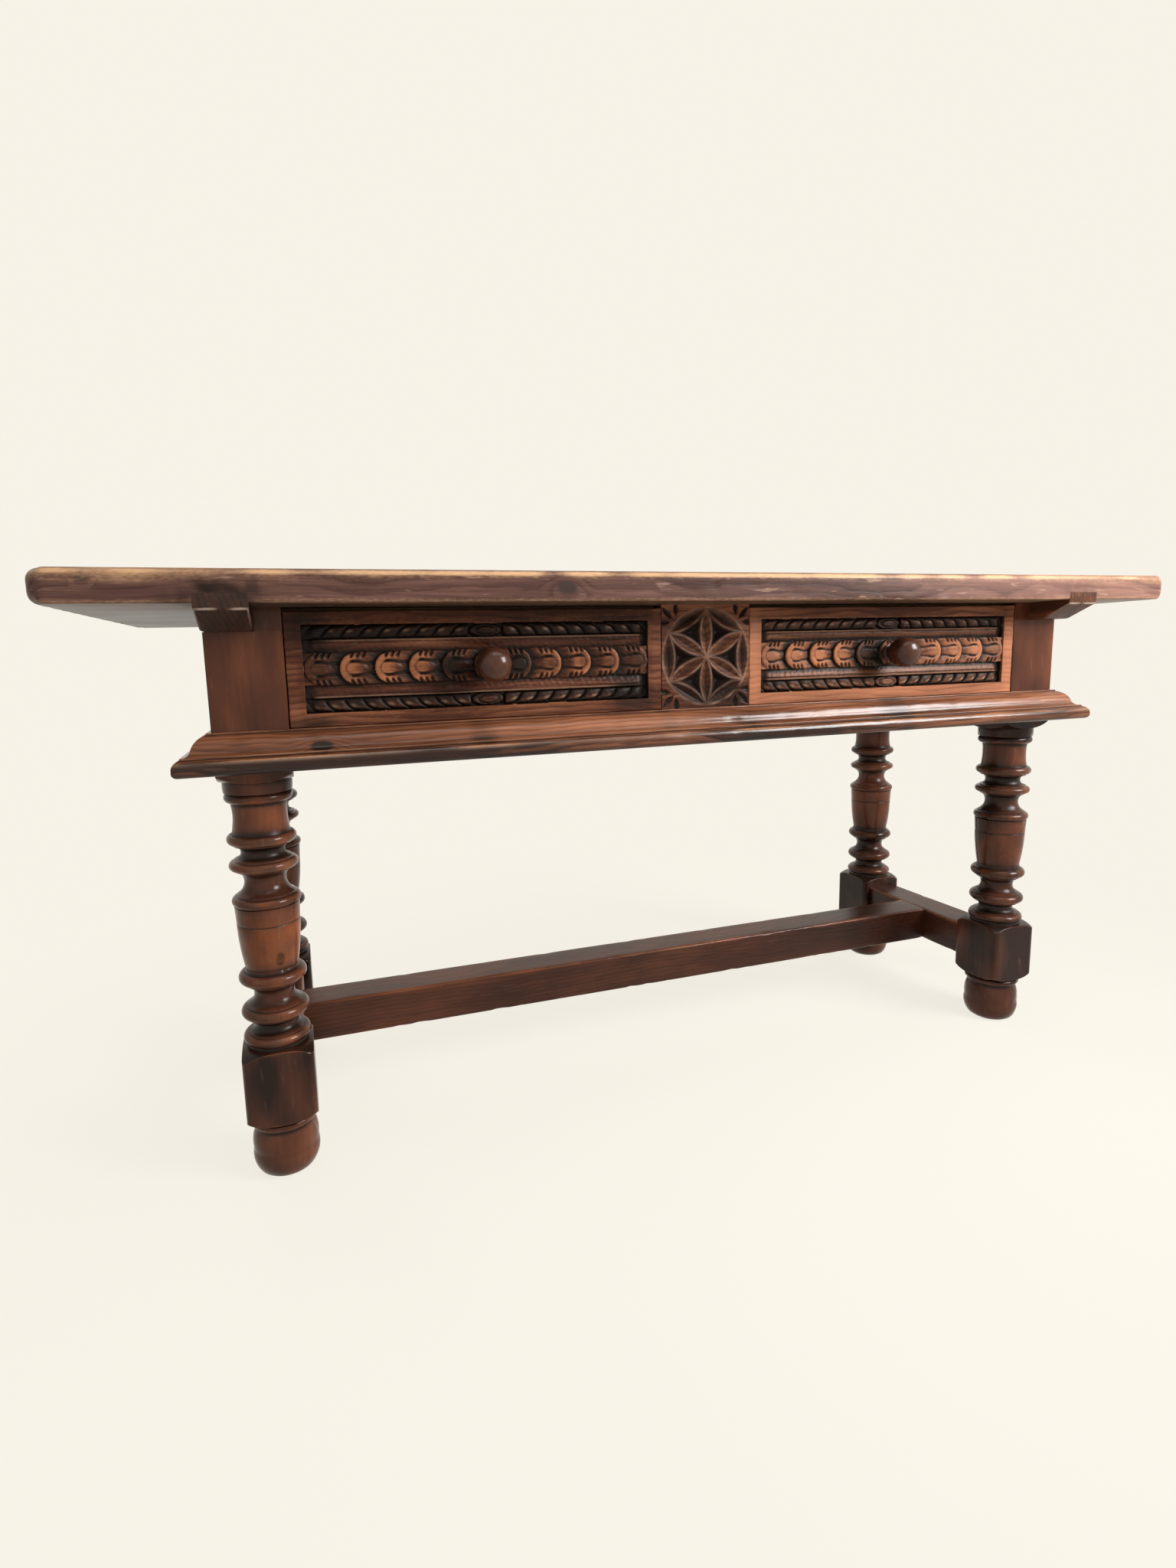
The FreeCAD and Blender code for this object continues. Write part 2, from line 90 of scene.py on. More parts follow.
def arcThrough(first, middle, last, count):
    (ax, ay), (bx, by), (cx, cy) = first, middle, last
    twice = 2 * (ax * (by - cy) + bx * (cy - ay) + cx * (ay - by))
    if abs(twice) < 1e-9:
        return between(first, last, count)
    a, b, c = (x * x + y * y for x, y in (first, middle, last))
    ux = (a * (by - cy) + b * (cy - ay) + c * (ay - by)) / twice
    uy = (a * (cx - bx) + b * (ax - cx) + c * (bx - ax)) / twice
    radius = math.hypot(ax - ux, ay - uy)
    start, half, end = (math.atan2(y - uy, x - ux) for x, y in (first, middle, last))
    turn = (end - start) % (2 * math.pi)
    if (half - start) % (2 * math.pi) > turn:
        turn -= 2 * math.pi
    angles = [start + turn * i / count for i in range(1, count + 1)]
    return [(ux + radius * math.cos(angle), uy + radius * math.sin(angle)) for angle in angles]


def traced(steps, lineStep, arcCount):
    # a step of two numbers is a line to that point, a step of four an arc through the first point to the second
    points = [steps[0]]
    for step in steps[1:]:
        if len(step) == 2:
            count = max(1, round(math.dist(points[-1], step) / lineStep))
            points += between(points[-1], step, count)
        else:
            points += arcThrough(points[-1], step[:2], step[2:], arcCount)
    return np.array(points)


def roundedOutline(halfX, halfY, radius, spacing, arcCount=10):
    # a rectangle with round corners, and the outward direction at each point
    points, outward = [], []
    corners = ((1, -1, -90), (1, 1, 0), (-1, 1, 90), (-1, -1, 180))
    for index, (signX, signY, start) in enumerate(corners):
        for i in range(arcCount + 1):
            angle = math.radians(start + 90 * i / arcCount)
            way = (math.cos(angle), math.sin(angle))
            points.append((signX * (halfX - radius) + radius * way[0], signY * (halfY - radius) + radius * way[1]))
            outward.append(way)
        signX, signY, _ = corners[(index + 1) % 4]
        aim = (signX * (halfX - radius) + radius * way[0], signY * (halfY - radius) + radius * way[1])
        count = max(1, round(math.dist(points[-1], aim) / spacing))
        points += between(points[-1], aim, count)[:-1]
        outward += [way] * (count - 1)
    return np.array(points), np.array(outward)


def stacked(x, y, z):
    return np.stack(np.broadcast_arrays(x, y, z), axis=-1)


def gridFaces(rows, columns, closed=False):
    # faces between the points of a grid; a closed grid is a tube with two flat ends
    index = np.arange(rows * columns).reshape(rows, columns)
    wrapped = np.concatenate([index, index[:, :1]], axis=1) if closed else index
    quads = np.stack([wrapped[:-1, :-1], wrapped[:-1, 1:], wrapped[1:, 1:], wrapped[1:, :-1]], axis=-1)
    return quads.reshape(-1, 4).tolist() + ([index[0].tolist(), index[-1].tolist()] if closed else [])


def boxPoints(low, high, start=0):
    (x0, y0, z0), (x1, y1, z1) = low, high
    points = [(x, y, z) for z in (z0, z1) for x, y in ((x0, y0), (x1, y0), (x1, y1), (x0, y1))]
    sides = ((0, 3, 2, 1), (4, 5, 6, 7), (0, 1, 5, 4), (1, 2, 6, 5), (2, 3, 7, 6), (3, 0, 4, 7))
    return points, [[start + i for i in side] for side in sides]


def meshOf(name, points, faces):
    mesh = bpy.data.meshes.new(name)
    mesh.from_pydata((np.asarray(points, float) * millimetre).tolist(), [], faces)
    mesh.validate()
    return mesh


def meshFrom(name, shell):
    mesh = bpy.data.meshes.new(name)
    shell.to_mesh(mesh)
    shell.free()
    return mesh


def placed(name, data):
    item = bpy.data.objects.new(name, data)
    bpy.context.scene.collection.objects.link(item)
    return item


def sawn(shell, place, way, clear=False):
    whole = shell.verts[:] + shell.edges[:] + shell.faces[:]
    spot = [part * millimetre for part in place]
    return bmesh.ops.bisect_plane(shell, geom=whole, plane_co=spot, plane_no=way, clear_outer=clear)["geom_cut"]


def addPiece(name, points, faces, finishes, body, stands, marks, sharp):
    mesh = meshOf(name, points, faces)
    shell = bmesh.new()
    shell.from_mesh(mesh)
    bmesh.ops.recalc_face_normals(shell, faces=shell.faces)
    shell.to_mesh(mesh)
    shell.free()
    dressPiece(name, mesh, finishes, body, stands, marks, sharp)


def dressPiece(name, mesh, finishes, body, stands, marks, sharp):
    # a mark is one number for all points or a number for each, and points left over get nought
    for key, values in marks.items():
        row = np.zeros(len(mesh.vertices), np.float32)
        row[:np.size(values) if np.ndim(values) else None] = np.ravel(values)
        mesh.attributes.new(key, "FLOAT", "POINT").data.foreach_set("value", row)
    mesh.polygons.foreach_set("use_smooth", np.ones(len(mesh.polygons), bool))
    mesh.set_sharp_from_angle(angle=math.radians(sharp))
    for finish in finishes:
        mesh.materials.append(finish)
    piece = placed(name, mesh)
    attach(piece, body)
    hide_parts(*stands)


def nodeTools(tree):
    # empties a node tree and gives the ways to fill it again
    tree.nodes.clear()

    def wired(kind, values=None, output=0, **settings):
        # a node with its inputs fed, as one of its outputs or, where output is None, as the node itself
        node = tree.nodes.new(kind)
        for key, value in settings.items():
            setattr(node, key, value)
        for key, value in (values or {}).items():
            socket = node.inputs[key]
            if isinstance(value, bpy.types.NodeSocket):
                tree.links.new(value, socket)
            else:
                socket.default_value = (*value, 1.0) if socket.type == "RGBA" else value
        return node if output is None else node.outputs[output]

    def calc(operation, *values):
        return wired("ShaderNodeMath", dict(enumerate(values)), operation=operation)

    def ease(*values):
        # value, low, high and, where they aren't 0 and 1, the start and the end
        return wired("ShaderNodeMapRange", dict(enumerate(values)), interpolation_type="SMOOTHSTEP")

    def tinted(share, first, second):
        return wired("ShaderNodeMix", {0: share, 6: first, 7: second}, 2, data_type="RGBA")

    return wired, calc, ease, tinted


# stained pine

pineLook = {
    "along": "x",  # the way of the grain
    "pith": (0.03, 0.9),  # the heart of the tree, across and deep
    "boardShift": 3.7,  # each board of a piece has its own figure
    "ring": 0.0065,
    "ringBend": 4.5,
    "wander": 0.03,
    "dark": (0.022, 0.0075, 0.0046),
    "middle": (0.092, 0.0295, 0.0148),
    "light": (0.225, 0.074, 0.032),
    "brightest": 1.75,  # times the light colour
    "middleAt": 0.3,
    "lightAt": 0.6,
    "toneSpan": 0.6,
    "worn": (0.46, 0.185, 0.075),
    "wornFrom": 0.14,
    "wornFull": 1.08,
    "grime": (0.011, 0.0066, 0.0046),
    "grimeFrom": 0.05,
    "grimeFull": 0.95,
    "pale": (0.46, 0.30, 0.21),
    "knot": (0.02, 0.0092, 0.0067),
    "knots": (),  # place and radius of each
    "knotLong": 0.62,
    "knotBulge": 0.012,  # how far the rings turn aside
    "rough": 0.40,
    "specular": 0.12,
    "coat": 0.0,
    "coatRough": 0.28,
    "bump": 0.3,
    "bumpDeep": 0.0006,
    "ringShare": 0.22,
    "streakShare": 1.3,
    "fibreShare": 0.75,
    "blotchShare": 1.3,
    "scuff": 0.12,
    "rubStreak": 0.4,
    "rubSpeck": 0.5,
}
# waves to a metre along and across the grain, detail and roughness
pineDrift = (2.6, 6.0, 2.0, 0.6)
pineGrain = {
    "streak": (3.2, 75.0, 4.0, 0.6),
    "fibre": (18.0, 800.0, 3.0, 0.6),
    "blotch": (4.5, 10.0, 3.0, 0.55),
    "speck": (150.0, 420.0, 2.0, 0.6),
    "scuff": (26.0, 150.0, 2.0, 0.5),  # short pale scratches
}


def pineFinish(name, **changes):
    look = {**pineLook, **changes}
    finish = bpy.data.materials.new(name)
    finish.use_nodes = True
    wired, calc, ease, tinted = nodeTools(finish.node_tree)

    def joined(*values):
        return wired("ShaderNodeCombineXYZ", dict(enumerate(values)))

    def parted(vector):
        return wired("ShaderNodeSeparateXYZ", {0: vector}, None).outputs

    def noise(lengthwise, crosswise, detail, rough, output=0):
        places = zip((length, across, depth), (lengthwise, crosswise, crosswise))
        vector = joined(*(calc("MULTIPLY", place, scale) for place, scale in places))
        values = {"Vector": vector, "Scale": 1.0, "Detail": detail, "Roughness": rough}
        return wired("ShaderNodeTexNoise", values, output)

    def mark(key):
        return wired("ShaderNodeAttribute", output="Fac", attribute_name=key)

    def swayed(base, field, share, middle=0.5):
        return calc("MULTIPLY_ADD", calc("SUBTRACT", field, middle), share, base)

    order = {"x": (0, 1, 2), "y": (1, 0, 2), "z": (2, 0, 1)}[look["along"]]
    place = parted(wired("ShaderNodeTexCoord", output="Object"))
    plainLength, across, depth = (place[i] for i in order)
    length = calc("MULTIPLY_ADD", mark("board"), look["boardShift"], plainLength)
    drift = parted(noise(*pineDrift, output=1))
    across, depth = (swayed(way, drift[i], look["wander"]) for i, way in enumerate((across, depth)))
    streak, fibre, blotch, speck, scuff = (noise(*grain) for grain in pineGrain.values())

    fromPith = joined(0.0, *(calc("SUBTRACT", way, pith) for way, pith in zip((across, depth), look["pith"])))
    rings = wired("ShaderNodeVectorMath", {0: fromPith}, "Value", operation="LENGTH")
    knotShade = 0.0
    for x, y, z, radius in look["knots"]:
        centre = [(x, y, z)[i] * millimetre for i in order]
        beside = calc("MULTIPLY", calc("SUBTRACT", plainLength, centre[0]), look["knotLong"])
        ends = {0: joined(beside, across, depth), 1: (0.0, *centre[1:])}
        away = wired("ShaderNodeVectorMath", ends, "Value", operation="DISTANCE")
        reach = calc("DIVIDE", away, radius * millimetre)
        rings = calc("ADD", rings, ease(reach, 0.3, 3.2, look["knotBulge"], 0.0))
        spot = ease(swayed(reach, blotch, 0.7), 0.75, 1.25, 1.0, 0.0)
        knotShade = calc("MAXIMUM", knotShade, spot)
    turn = calc("FRACT", calc("MULTIPLY_ADD", blotch, look["ringBend"], calc("DIVIDE", rings, look["ring"])))
    late = calc("MULTIPLY", ease(turn, 0.3, 0.88), ease(turn, 0.92, 1.0, 1.0, 0.0))  # the dark wood of a ring

    tone = swayed(0.5, streak, look["streakShare"])
    tone = swayed(tone, late, -look["ringShare"], 0.4)
    tone = swayed(tone, fibre, look["fibreShare"])
    tone = swayed(tone, blotch, look["blotchShare"])
    tone = calc("ADD", tone, mark("shade"))
    ramp = wired("ShaderNodeValToRGB", {0: calc("MULTIPLY", tone, look["toneSpan"])}, None)
    stops = ramp.color_ramp.elements
    stops[0].color = (*look["dark"], 1)
    stops[1].color = (*(look["brightest"] * part for part in look["light"]), 1)
    stops.new(look["middleAt"]).color = (*look["middle"], 1)
    stops.new(look["lightAt"]).color = (*look["light"], 1)
    colour = ramp.outputs[0]
    if look["knots"]:
        colour = tinted(knotShade, colour, look["knot"])
    rub = swayed(swayed(mark("wear"), speck, look["rubSpeck"]), streak, look["rubStreak"])
    colour = tinted(ease(rub, look["wornFrom"], look["wornFull"]), colour, look["worn"])
    # the pale mark is painted highlight along ridges, on crests and as glints
    colour = tinted(mark("pale"), colour, look["pale"])
    colour = tinted(calc("MULTIPLY", ease(scuff, 0.64, 0.74), look["scuff"]), colour, look["pale"])
    # the dark mark holds grime, and also painted shade in hollows, cuts, gaps and under things
    dirtAndShade = ease(swayed(mark("grime"), blotch, 0.35), look["grimeFrom"], look["grimeFull"])
    colour = tinted(dirtAndShade, colour, look["grime"])

    rough = swayed(swayed(look["rough"], fibre, 0.22), blotch, 0.25)
    relief = calc("MULTIPLY_ADD", speck, 0.5, calc("MULTIPLY_ADD", late, -0.35, fibre))
    bump = wired("ShaderNodeBump", {"Strength": look["bump"], "Distance": look["bumpDeep"], "Height": relief})
    shader = wired("ShaderNodeBsdfPrincipled", {
        "Base Color": colour, "Roughness": calc("MULTIPLY_ADD", dirtAndShade, 0.18, rough), "Normal": bump,
        "Specular IOR Level": look["specular"], "Coat Weight": look["coat"], "Coat Roughness": look["coatRough"]})
    wired("ShaderNodeOutputMaterial", {0: shader}, None)
    return finish


barLook = {"dark": (0.013, 0.0052, 0.0036), "middle": (0.05, 0.0165, 0.0088), "light": (0.125, 0.041, 0.019),
           "worn": (0.2, 0.064, 0.027), "rough": 0.3, "specular": 0.2, "streakShare": 0.6, "fibreShare": 0.4,
           "ringShare": 0.12, "scuff": 0.04}
mouldingLook = {"middle": (0.178, 0.064, 0.03), "light": (0.42, 0.165, 0.08), "rough": 0.2, "specular": 0.26,
                "coat": 0.06, "streakShare": 0.9, "fibreShare": 0.35, "bump": 0.12, "scuff": 0.05}
innerLook = {"dark": (0.2, 0.12, 0.06), "middle": (0.34, 0.22, 0.12), "light": (0.48, 0.34, 0.2),
             "rough": 0.65, "bump": 0.5}
slabPine = pineFinish(
    "slabPine", dark=(0.029, 0.0127, 0.0096), middle=(0.098, 0.048, 0.038), light=(0.2, 0.1, 0.075),
    worn=(0.66, 0.39, 0.21), knot=(0.05, 0.033, 0.028), knots=((-232, -278, 759, 8), (-763, -278, 770, 4)),
    ringShare=0.2, wander=0.016, specular=0.12, scuff=0.4)
topPine = pineFinish(
    "topPine", dark=(0.045, 0.0165, 0.0075), middle=(0.14, 0.055, 0.0225), light=(0.275, 0.122, 0.053),
    worn=(0.5, 0.25, 0.115), knots=((-120, -40, 780, 14), (520, 90, 780, 11), (-480, 170, 780, 12)),
    ring=0.009, ringShare=0.42, fibreShare=0.9, rough=0.75, specular=0.06, scuff=0.3)
undersidePine = pineFinish(
    "undersidePine", dark=(0.03, 0.019, 0.0125), middle=(0.085, 0.055, 0.038), light=(0.16, 0.105, 0.073),
    rough=0.34, specular=0.11, bump=0.12)
battenPine = pineFinish(
    "battenPine", along="y", middle=(0.085, 0.031, 0.0155), light=(0.185, 0.068, 0.032), worn=(0.36, 0.27, 0.22),
    grime=(0.03, 0.024, 0.022))
legPine = pineFinish(
    "legPine", along="z", pith=(0.9, 0.5), ring=0.009, dark=(0.015, 0.0052, 0.0034), worn=(0.28, 0.07, 0.0125),
    grime=(0.013, 0.0062, 0.0036), knots=((-605, -200, 302, 6), (652, 150, 330, 7), (-660, 170, 640, 8)),
    rough=0.18, specular=0.18, coat=0.04, scuff=0.06, ringShare=0.03, streakShare=0.24, fibreShare=0.14,
    rubStreak=0.15, bump=0.05)
railPine = pineFinish("railPine", pith=(-0.1, 0.5))
crossPine = pineFinish("crossPine", along="y", pith=(0.5, 0.9))
barPine = pineFinish("barPine", pith=(-0.1, 0.5), **barLook)
barCross = pineFinish("barCross", along="y", pith=(0.5, 0.9), **barLook)
mouldingPine = pineFinish("mouldingPine", knots=((-536, -231, 577, 8), (180, -235, 582, 5)), **mouldingLook)
mouldingCross = pineFinish("mouldingCross", along="y", **mouldingLook)
carvedPine = pineFinish(
    "carvedPine", pith=(0.1, 1.0), light=(0.30, 0.117, 0.059), worn=(0.42, 0.158, 0.068), rough=0.32,
    specular=0.13, streakShare=0.9, fibreShare=0.45)
knobPine = pineFinish(
    "knobPine", along="y", dark=(0.018, 0.007, 0.0046), middle=(0.06, 0.021, 0.0115), light=(0.125, 0.044, 0.022),
    rough=0.2, specular=0.24, coat=0.08, bump=0.06, streakShare=0.5, ringShare=0.08, fibreShare=0.3, scuff=0.03)
innerPine = pineFinish("innerPine", along="y", **innerLook)
innerRail = pineFinish("innerRail", **innerLook)
print("finishes made")


# the top: three planks, worn round at the edges

top = {
    "halfX": 818.0, "halfY": 278.0, "low": 742.0, "high": 780.0, "corner": 20.0, "outlineStep": 7.0,
    "edge": 8.0, "endEdge": 12.5, "cornerEdge": 5.0,  # rounding above, at the ends, and more at the corners
    "under": 2.5, "endUnder": 11.0, "cornerUnder": 8.0,  # the same below
    "dent": 0.5, "jointWide": 2.2, "jointDeep": 1.8, "skin": 0.5,
    "plankEdges": (-278.0, -92.6667, 92.6667, 278.0), "plankTones": (0.03, 0.2, 0.06), "boardStep": 0.31,
    "rim": 14.0, "fallDeep": 10.0, "wornFall": 0.9, "footHigh": 5.0, "footIn": 9.0, "footWear": 0.35,
    "stainAt": 634.0, "stainWide": 52.0, "stainLeft": 0.72, "stainRight": 0.3,  # dark where the battens end
    "jointDirt": 0.9, "rubbed": 0.62, "paler": 0.45,  # the right end is paler
}
batten = {
    "x0": 604.0, "x1": 661.0, "low": 714.0, "high": 753.0, "endLow": 735.0, "slope": 45.0, "arris": 3.0,
    "sawHalf": 300.0, "sawLow": 690.0, "slices": 19, "seenBelow": 740.0, "nose": 6.0, "noseHigh": 5.0,
    "sides": {"left": {"sign": -1, "dirtAndShade": 0.55, "tone": -0.25}, "right": {"sign": 1, "dirtAndShade": 0.2, "tone": 0.05}},
}


def slabMesh():
    outline, outward = roundedOutline(top["halfX"], top["halfY"], top["corner"], top["outlineStep"])
    atEnd = outward[:, 0] ** 2
    atCorner = 4 * outward[:, 0] ** 2 * outward[:, 1] ** 2

    def rounding(side, end, corner, rough):
        return (top[side] + (top[end] - top[side]) * atEnd + top[corner] * atCorner) * (1 + rough)

    rough = ripple(outline, 60, 3) * 0.5 + ripple(outline, 17, 4) * 0.5
    upper = rounding("edge", "endEdge", "cornerEdge", 0.1 * rough)
    lower = rounding("under", "endUnder", "cornerUnder", 0.12 * ripple(outline, 50, 5))
    rows = []
    for angle in np.linspace(0, math.pi / 2, 9):
        rows.append((upper * (1 - math.sin(angle)), top["high"] - upper * (1 - math.cos(angle))))
    for share in np.linspace(0, 1, 6)[1:-1]:
        rows.append((0 * upper, top["high"] - upper + share * (top["low"] + lower - top["high"] + upper)))
    for angle in np.linspace(0, math.pi / 2, 7):
        rows.append((lower * (1 - math.cos(angle)), top["low"] + lower * (1 - math.sin(angle))))
    points = []
    for number, (inset, height) in enumerate(rows):
        if 0 < number < len(rows) - 1:
            knocks = ripple(np.column_stack([outline, height]), 24, 6 + number % 2)
            inset = inset + clipped(knocks - 0.55) * top["dent"] * 2
        points.append(np.column_stack([outline - outward * inset[:, None], height]))
    return meshOf("slab", np.concatenate(points), gridFaces(len(rows), len(outline), closed=True))


def housedSlab():
    # the two battens are let into the underside
    slab = placed("slab", slabMesh())
    cutters = []
    for side in (-1, 1):
        near, far = sorted((side * batten["x0"], side * batten["x1"]))
        box = boxPoints((near, -batten["sawHalf"], batten["sawLow"]), (far, batten["sawHalf"], batten["high"]))
        cutters.append(placed("housing", meshOf("housing", *box)))
        cut = slab.modifiers.new("housing", "BOOLEAN")
        cut.operation = "DIFFERENCE"
        cut.solver = "EXACT"
        cut.object = cutters[-1]
    bpy.context.view_layer.update()
    mesh = bpy.data.meshes.new_from_object(slab.evaluated_get(bpy.context.evaluated_depsgraph_get()))
    for spare in [slab, *cutters]:
        bpy.data.objects.remove(spare)
    return mesh


def plankShell(slab, index):
    # one plank out of the slab, with a fine groove at each glued joint
    shell = bmesh.new()
    shell.from_mesh(slab)
    bmesh.ops.recalc_face_normals(shell, faces=shell.faces)
    for edge, away in zip(top["plankEdges"][index:], (-1, 1)):
        if abs(edge) >= top["halfY"]:
            continue
        cut = sawn(shell, (0, edge, 0), (0, away, 0), clear=True)
        bmesh.ops.edgenet_fill(shell, edges=[item for item in cut if isinstance(item, bmesh.types.BMEdge)])
        sawn(shell, (0, edge - away * top["jointWide"], 0), (0, 1, 0))
        for point in shell.verts:
            atJoint = abs(point.co.y - edge * millimetre) < 1e-6
            if atJoint and point.co.z > (top["high"] - top["skin"]) * millimetre:
                point.co.z -= top["jointDeep"] * millimetre
    bmesh.ops.recalc_face_normals(shell, faces=shell.faces)
    return shell


def plankMarks(spots, index):
    x, y, z = spots.T
    inward = np.minimum(top["halfX"] - abs(x), top["halfY"] - abs(y))
    atRim = inward < top["rim"]
    fall = (top["high"] - z) / top["fallDeep"]
    worn = np.sin(clipped(fall / top["wornFall"]) * math.pi) ** 0.8
    wear = np.where(atRim & (fall > 0.005) & (fall < top["wornFall"]), worn, 0)
    wear = wear * np.clip(0.8 + 0.45 * ripple(spots, 90, 26), 0.2, 1)
    rubbed = top["rubbed"] * (1 - eased(fall, 0.7, 2.3)) * eased(abs(x), 250, 780) * atRim
    rubbed = rubbed * (0.75 + 0.35 * ripple(spots, 70, 21))
    foot = np.where((z < top["low"] + top["footHigh"]) & (inward < top["footIn"]), top["footWear"], 0)
    nearBatten = abs(x) - top["stainAt"] + 16 * ripple(spots, 60, 22)
    stain = np.where(x > 0, top["stainRight"], top["stainLeft"]) * bell(nearBatten, 0, top["stainWide"])
    stain = stain * eased(fall, 0.4, 2.0) * atRim * (0.9 + 0.4 * ripple(spots, 25, 23))
    for edge in top["plankEdges"][1:3]:
        stain = np.maximum(stain, top["jointDirt"] * (abs(y - edge) < 0.4) * (fall < 1))
    return {"wear": np.maximum(np.maximum(wear, rubbed), foot), "grime": stain, "board": top["boardStep"] * index,
            "shade": top["paler"] * eased(x, 0, 650) - top["plankTones"][index]}


def makeTop():
    slab = housedSlab()
    for index, name in enumerate(("front", "middle", "rear")):
        mesh = meshFrom("topPlank_" + name, plankShell(slab, index))
        spots = np.array([point.co for point in mesh.vertices]) / millimetre
        dressPiece("topPlank_" + name, mesh, [slabPine, undersidePine, topPine], "table_frame",
                   ["top_plank_" + name], plankMarks(spots, index), 32)
        for face in mesh.polygons:
            y, z = face.center.y / millimetre, face.center.z / millimetre
            atJoint = min(abs(y - edge) for edge in top["plankEdges"][1:3]) < top["jointWide"]
            if abs(face.normal.z) > 0.9:
                face.material_index = 1 if z < top["low"] + top["skin"] else 2 if z > top["high"] - top["skin"] else 0
            elif face.normal.z > 0.5 and atJoint:
                face.material_index = 2


def makeBattens():
    # sloped ends, let into the slab and flush with its edges
    half, slopeEnd = top["halfY"], top["halfY"] - batten["slope"]
    side = [(-half, batten["endLow"]), (-slopeEnd, batten["low"]), (slopeEnd, batten["low"]),
            (half, batten["endLow"]), (half, batten["high"]), (-half, batten["high"])]
    for name, values in batten["sides"].items():
        sign = values["sign"]
        shell = bmesh.new()
        rims = [[shell.verts.new((sign * x * millimetre, y * millimetre, z * millimetre)) for y, z in side]
                for x in (batten["x0"], batten["x1"])]
        shell.faces.new(rims[0])
        shell.faces.new(rims[1])
        for i in range(len(side)):
            j = (i + 1) % len(side)
            shell.faces.new((rims[0][i], rims[0][j], rims[1][j], rims[1][i]))
        for x in np.linspace(batten["x0"], batten["x1"], batten["slices"] + 1)[1:-1]:
            sawn(shell, (sign * x, 0, 0), (1, 0, 0))
        bmesh.ops.recalc_face_normals(shell, faces=shell.faces)
        seen = [edge for edge in shell.edges if edge.calc_face_angle(0) > 0.2
                and max(point.co.z for point in edge.verts) < batten["seenBelow"] * millimetre]
        made = bmesh.ops.bevel(shell, geom=seen, offset=batten["arris"] * millimetre, segments=3, profile=0.5,
                               affect="EDGES")["faces"]
        worn = {point for face in made for point in face.verts if all(near in made for near in point.link_faces)}
        shell.verts.index_update()
        spots = np.array([point.co for point in shell.verts]) / millimetre
        onNose = abs(spots[:, 1]) > half - batten["nose"]
        onNose &= abs(spots[:, 2] - batten["endLow"]) < batten["noseHigh"]
        chips = clipped(0.8 + 0.4 * ripple(spots, 18, 25))
        rubbed = np.array([point in worn for point in shell.verts])
        marks = {"wear": np.where(rubbed, np.where(onNose, chips, 0.25), 0.0), "shade": values["tone"],
                 "grime": np.where(rubbed & onNose, 0.5 - 0.5 * chips, values["dirtAndShade"])}
        dressPiece("batten_" + name, meshFrom("batten_" + name, shell), [battenPine], "table_frame",
                   ["top_batten_" + name], marks, 30)


makeTop()
makeBattens()
print("top and battens made")


# turned legs

leg = {
    "x": 616.5, "y": 164.5, "half": 44.5, "arris": 2.2, "blockArris": 9.0, "blockTop": 400.0, "sides": 192,
    "postTop": 714.0, "top": 742.0, "tongueInner": 572.0, "tongueOuter": 604.0, "lineStep": 3.0, "arcCount": 9,
    "shoulderLow": 43.0, "shoulderHigh": 65.9, "turnedMax": 43.5, "squareMin": 60.0,  # radius of the turning
    "blend": 0.7, "dent": 0.8, "levels": 1485, "crestReach": 8, "lineAt": 346.0, "lineWide": 0.9,
    "blockMiddle": 130.0, "stainTop": 545.0, "boardStep": 0.13,
}
legs = {
    "front_left": {"signX": -1, "signY": -1, "stain": 0.0, "rubbed": 1.0, "seed": 10},
    "front_right": {"signX": 1, "signY": -1, "stain": -0.19, "rubbed": 0.5, "seed": 17},
    "rear_left": {"signX": -1, "signY": 1, "stain": -0.1, "rubbed": 0.7, "seed": 24},
    "rear_right": {"signX": 1, "signY": 1, "stain": -0.14, "rubbed": 0.5, "seed": 31},
}
# radius and height up the leg
legSteps = (
    (30, 0), (36, 4), (40.6, 12, 42, 34), (41.6, 53, 37.6, 65.5), (38, 67.5), (43, 72.5, 39.6, 77.6), (40, 79.5),
    (56.5, 85.5, 66, 106), (66, 158), (57.5, 174, 42, 181),
    (39.6, 181.5), (39, 185), (42.6, 191, 39, 197), (36.4, 197.3), (36.2, 199.2), (26.6, 208.5, 36.2, 217.4),
    (36.4, 219.3), (39, 219.6), (42.6, 226.2, 39, 232.6), (36.2, 233), (35.8, 235), (25.2, 248, 28, 258.5),
    (34.6, 263), (35, 265), (42.6, 272.6, 36.4, 280.6), (34.6, 281), (33.8, 285.4), (33, 286),
    (37.6, 318, 39.2, 345), (38.7, 346), (39.2, 347), (39.9, 362, 40.3, 369), (39.2, 369.8),
    (42.6, 375.5, 39.4, 381.2), (36.4, 381.6), (36, 384), (28.4, 391, 25.8, 401), (27.4, 408, 34.8, 414.4),
    (35.2, 416.4), (38.8, 416.7), (42.6, 422.2, 38.8, 427.8), (35.8, 428.2), (35.4, 430.2), (26.8, 439, 35.4, 448),
    (35.8, 450), (39, 450.4), (42.6, 456.4, 39, 462.6), (36, 463), (35, 466.6), (33.4, 486, 34.4, 503),
    (37.6, 504.5), (41.6, 509.4, 40.2, 514.6), (39.4, 515.4), (41.6, 516.8), (42.3, 523, 42, 530.5),
    (44, 531.5), (52, 535, 66, 545.5), (66, 714))
# darker or lighter stain at heights up the leg; the top of the post is lightened as painted light against the shadow
# of the top
legTones = (
    (0, -0.05), (60, -0.05), (85, -0.34), (175, -0.34), (195, -0.14), (280, -0.1), (292, 0.1), (365, 0.1),
    (380, -0.14), (465, -0.1), (475, 0.08), (498, 0.08), (510, -0.32), (560, -0.22), (620, -0.01), (690, 0.1),
    (714, 0.14))
# where hands and dusters have rubbed it to orange
legRubbed = (
    (0, 0.0), (12, 0.12), (50, 0.12), (70, 0.0), (288, 0.0), (297, 0.52), (362, 0.52), (369, 0.0), (468, 0.0),
    (476, 0.36), (497, 0.36), (504, 0.0), (714, 0.0))


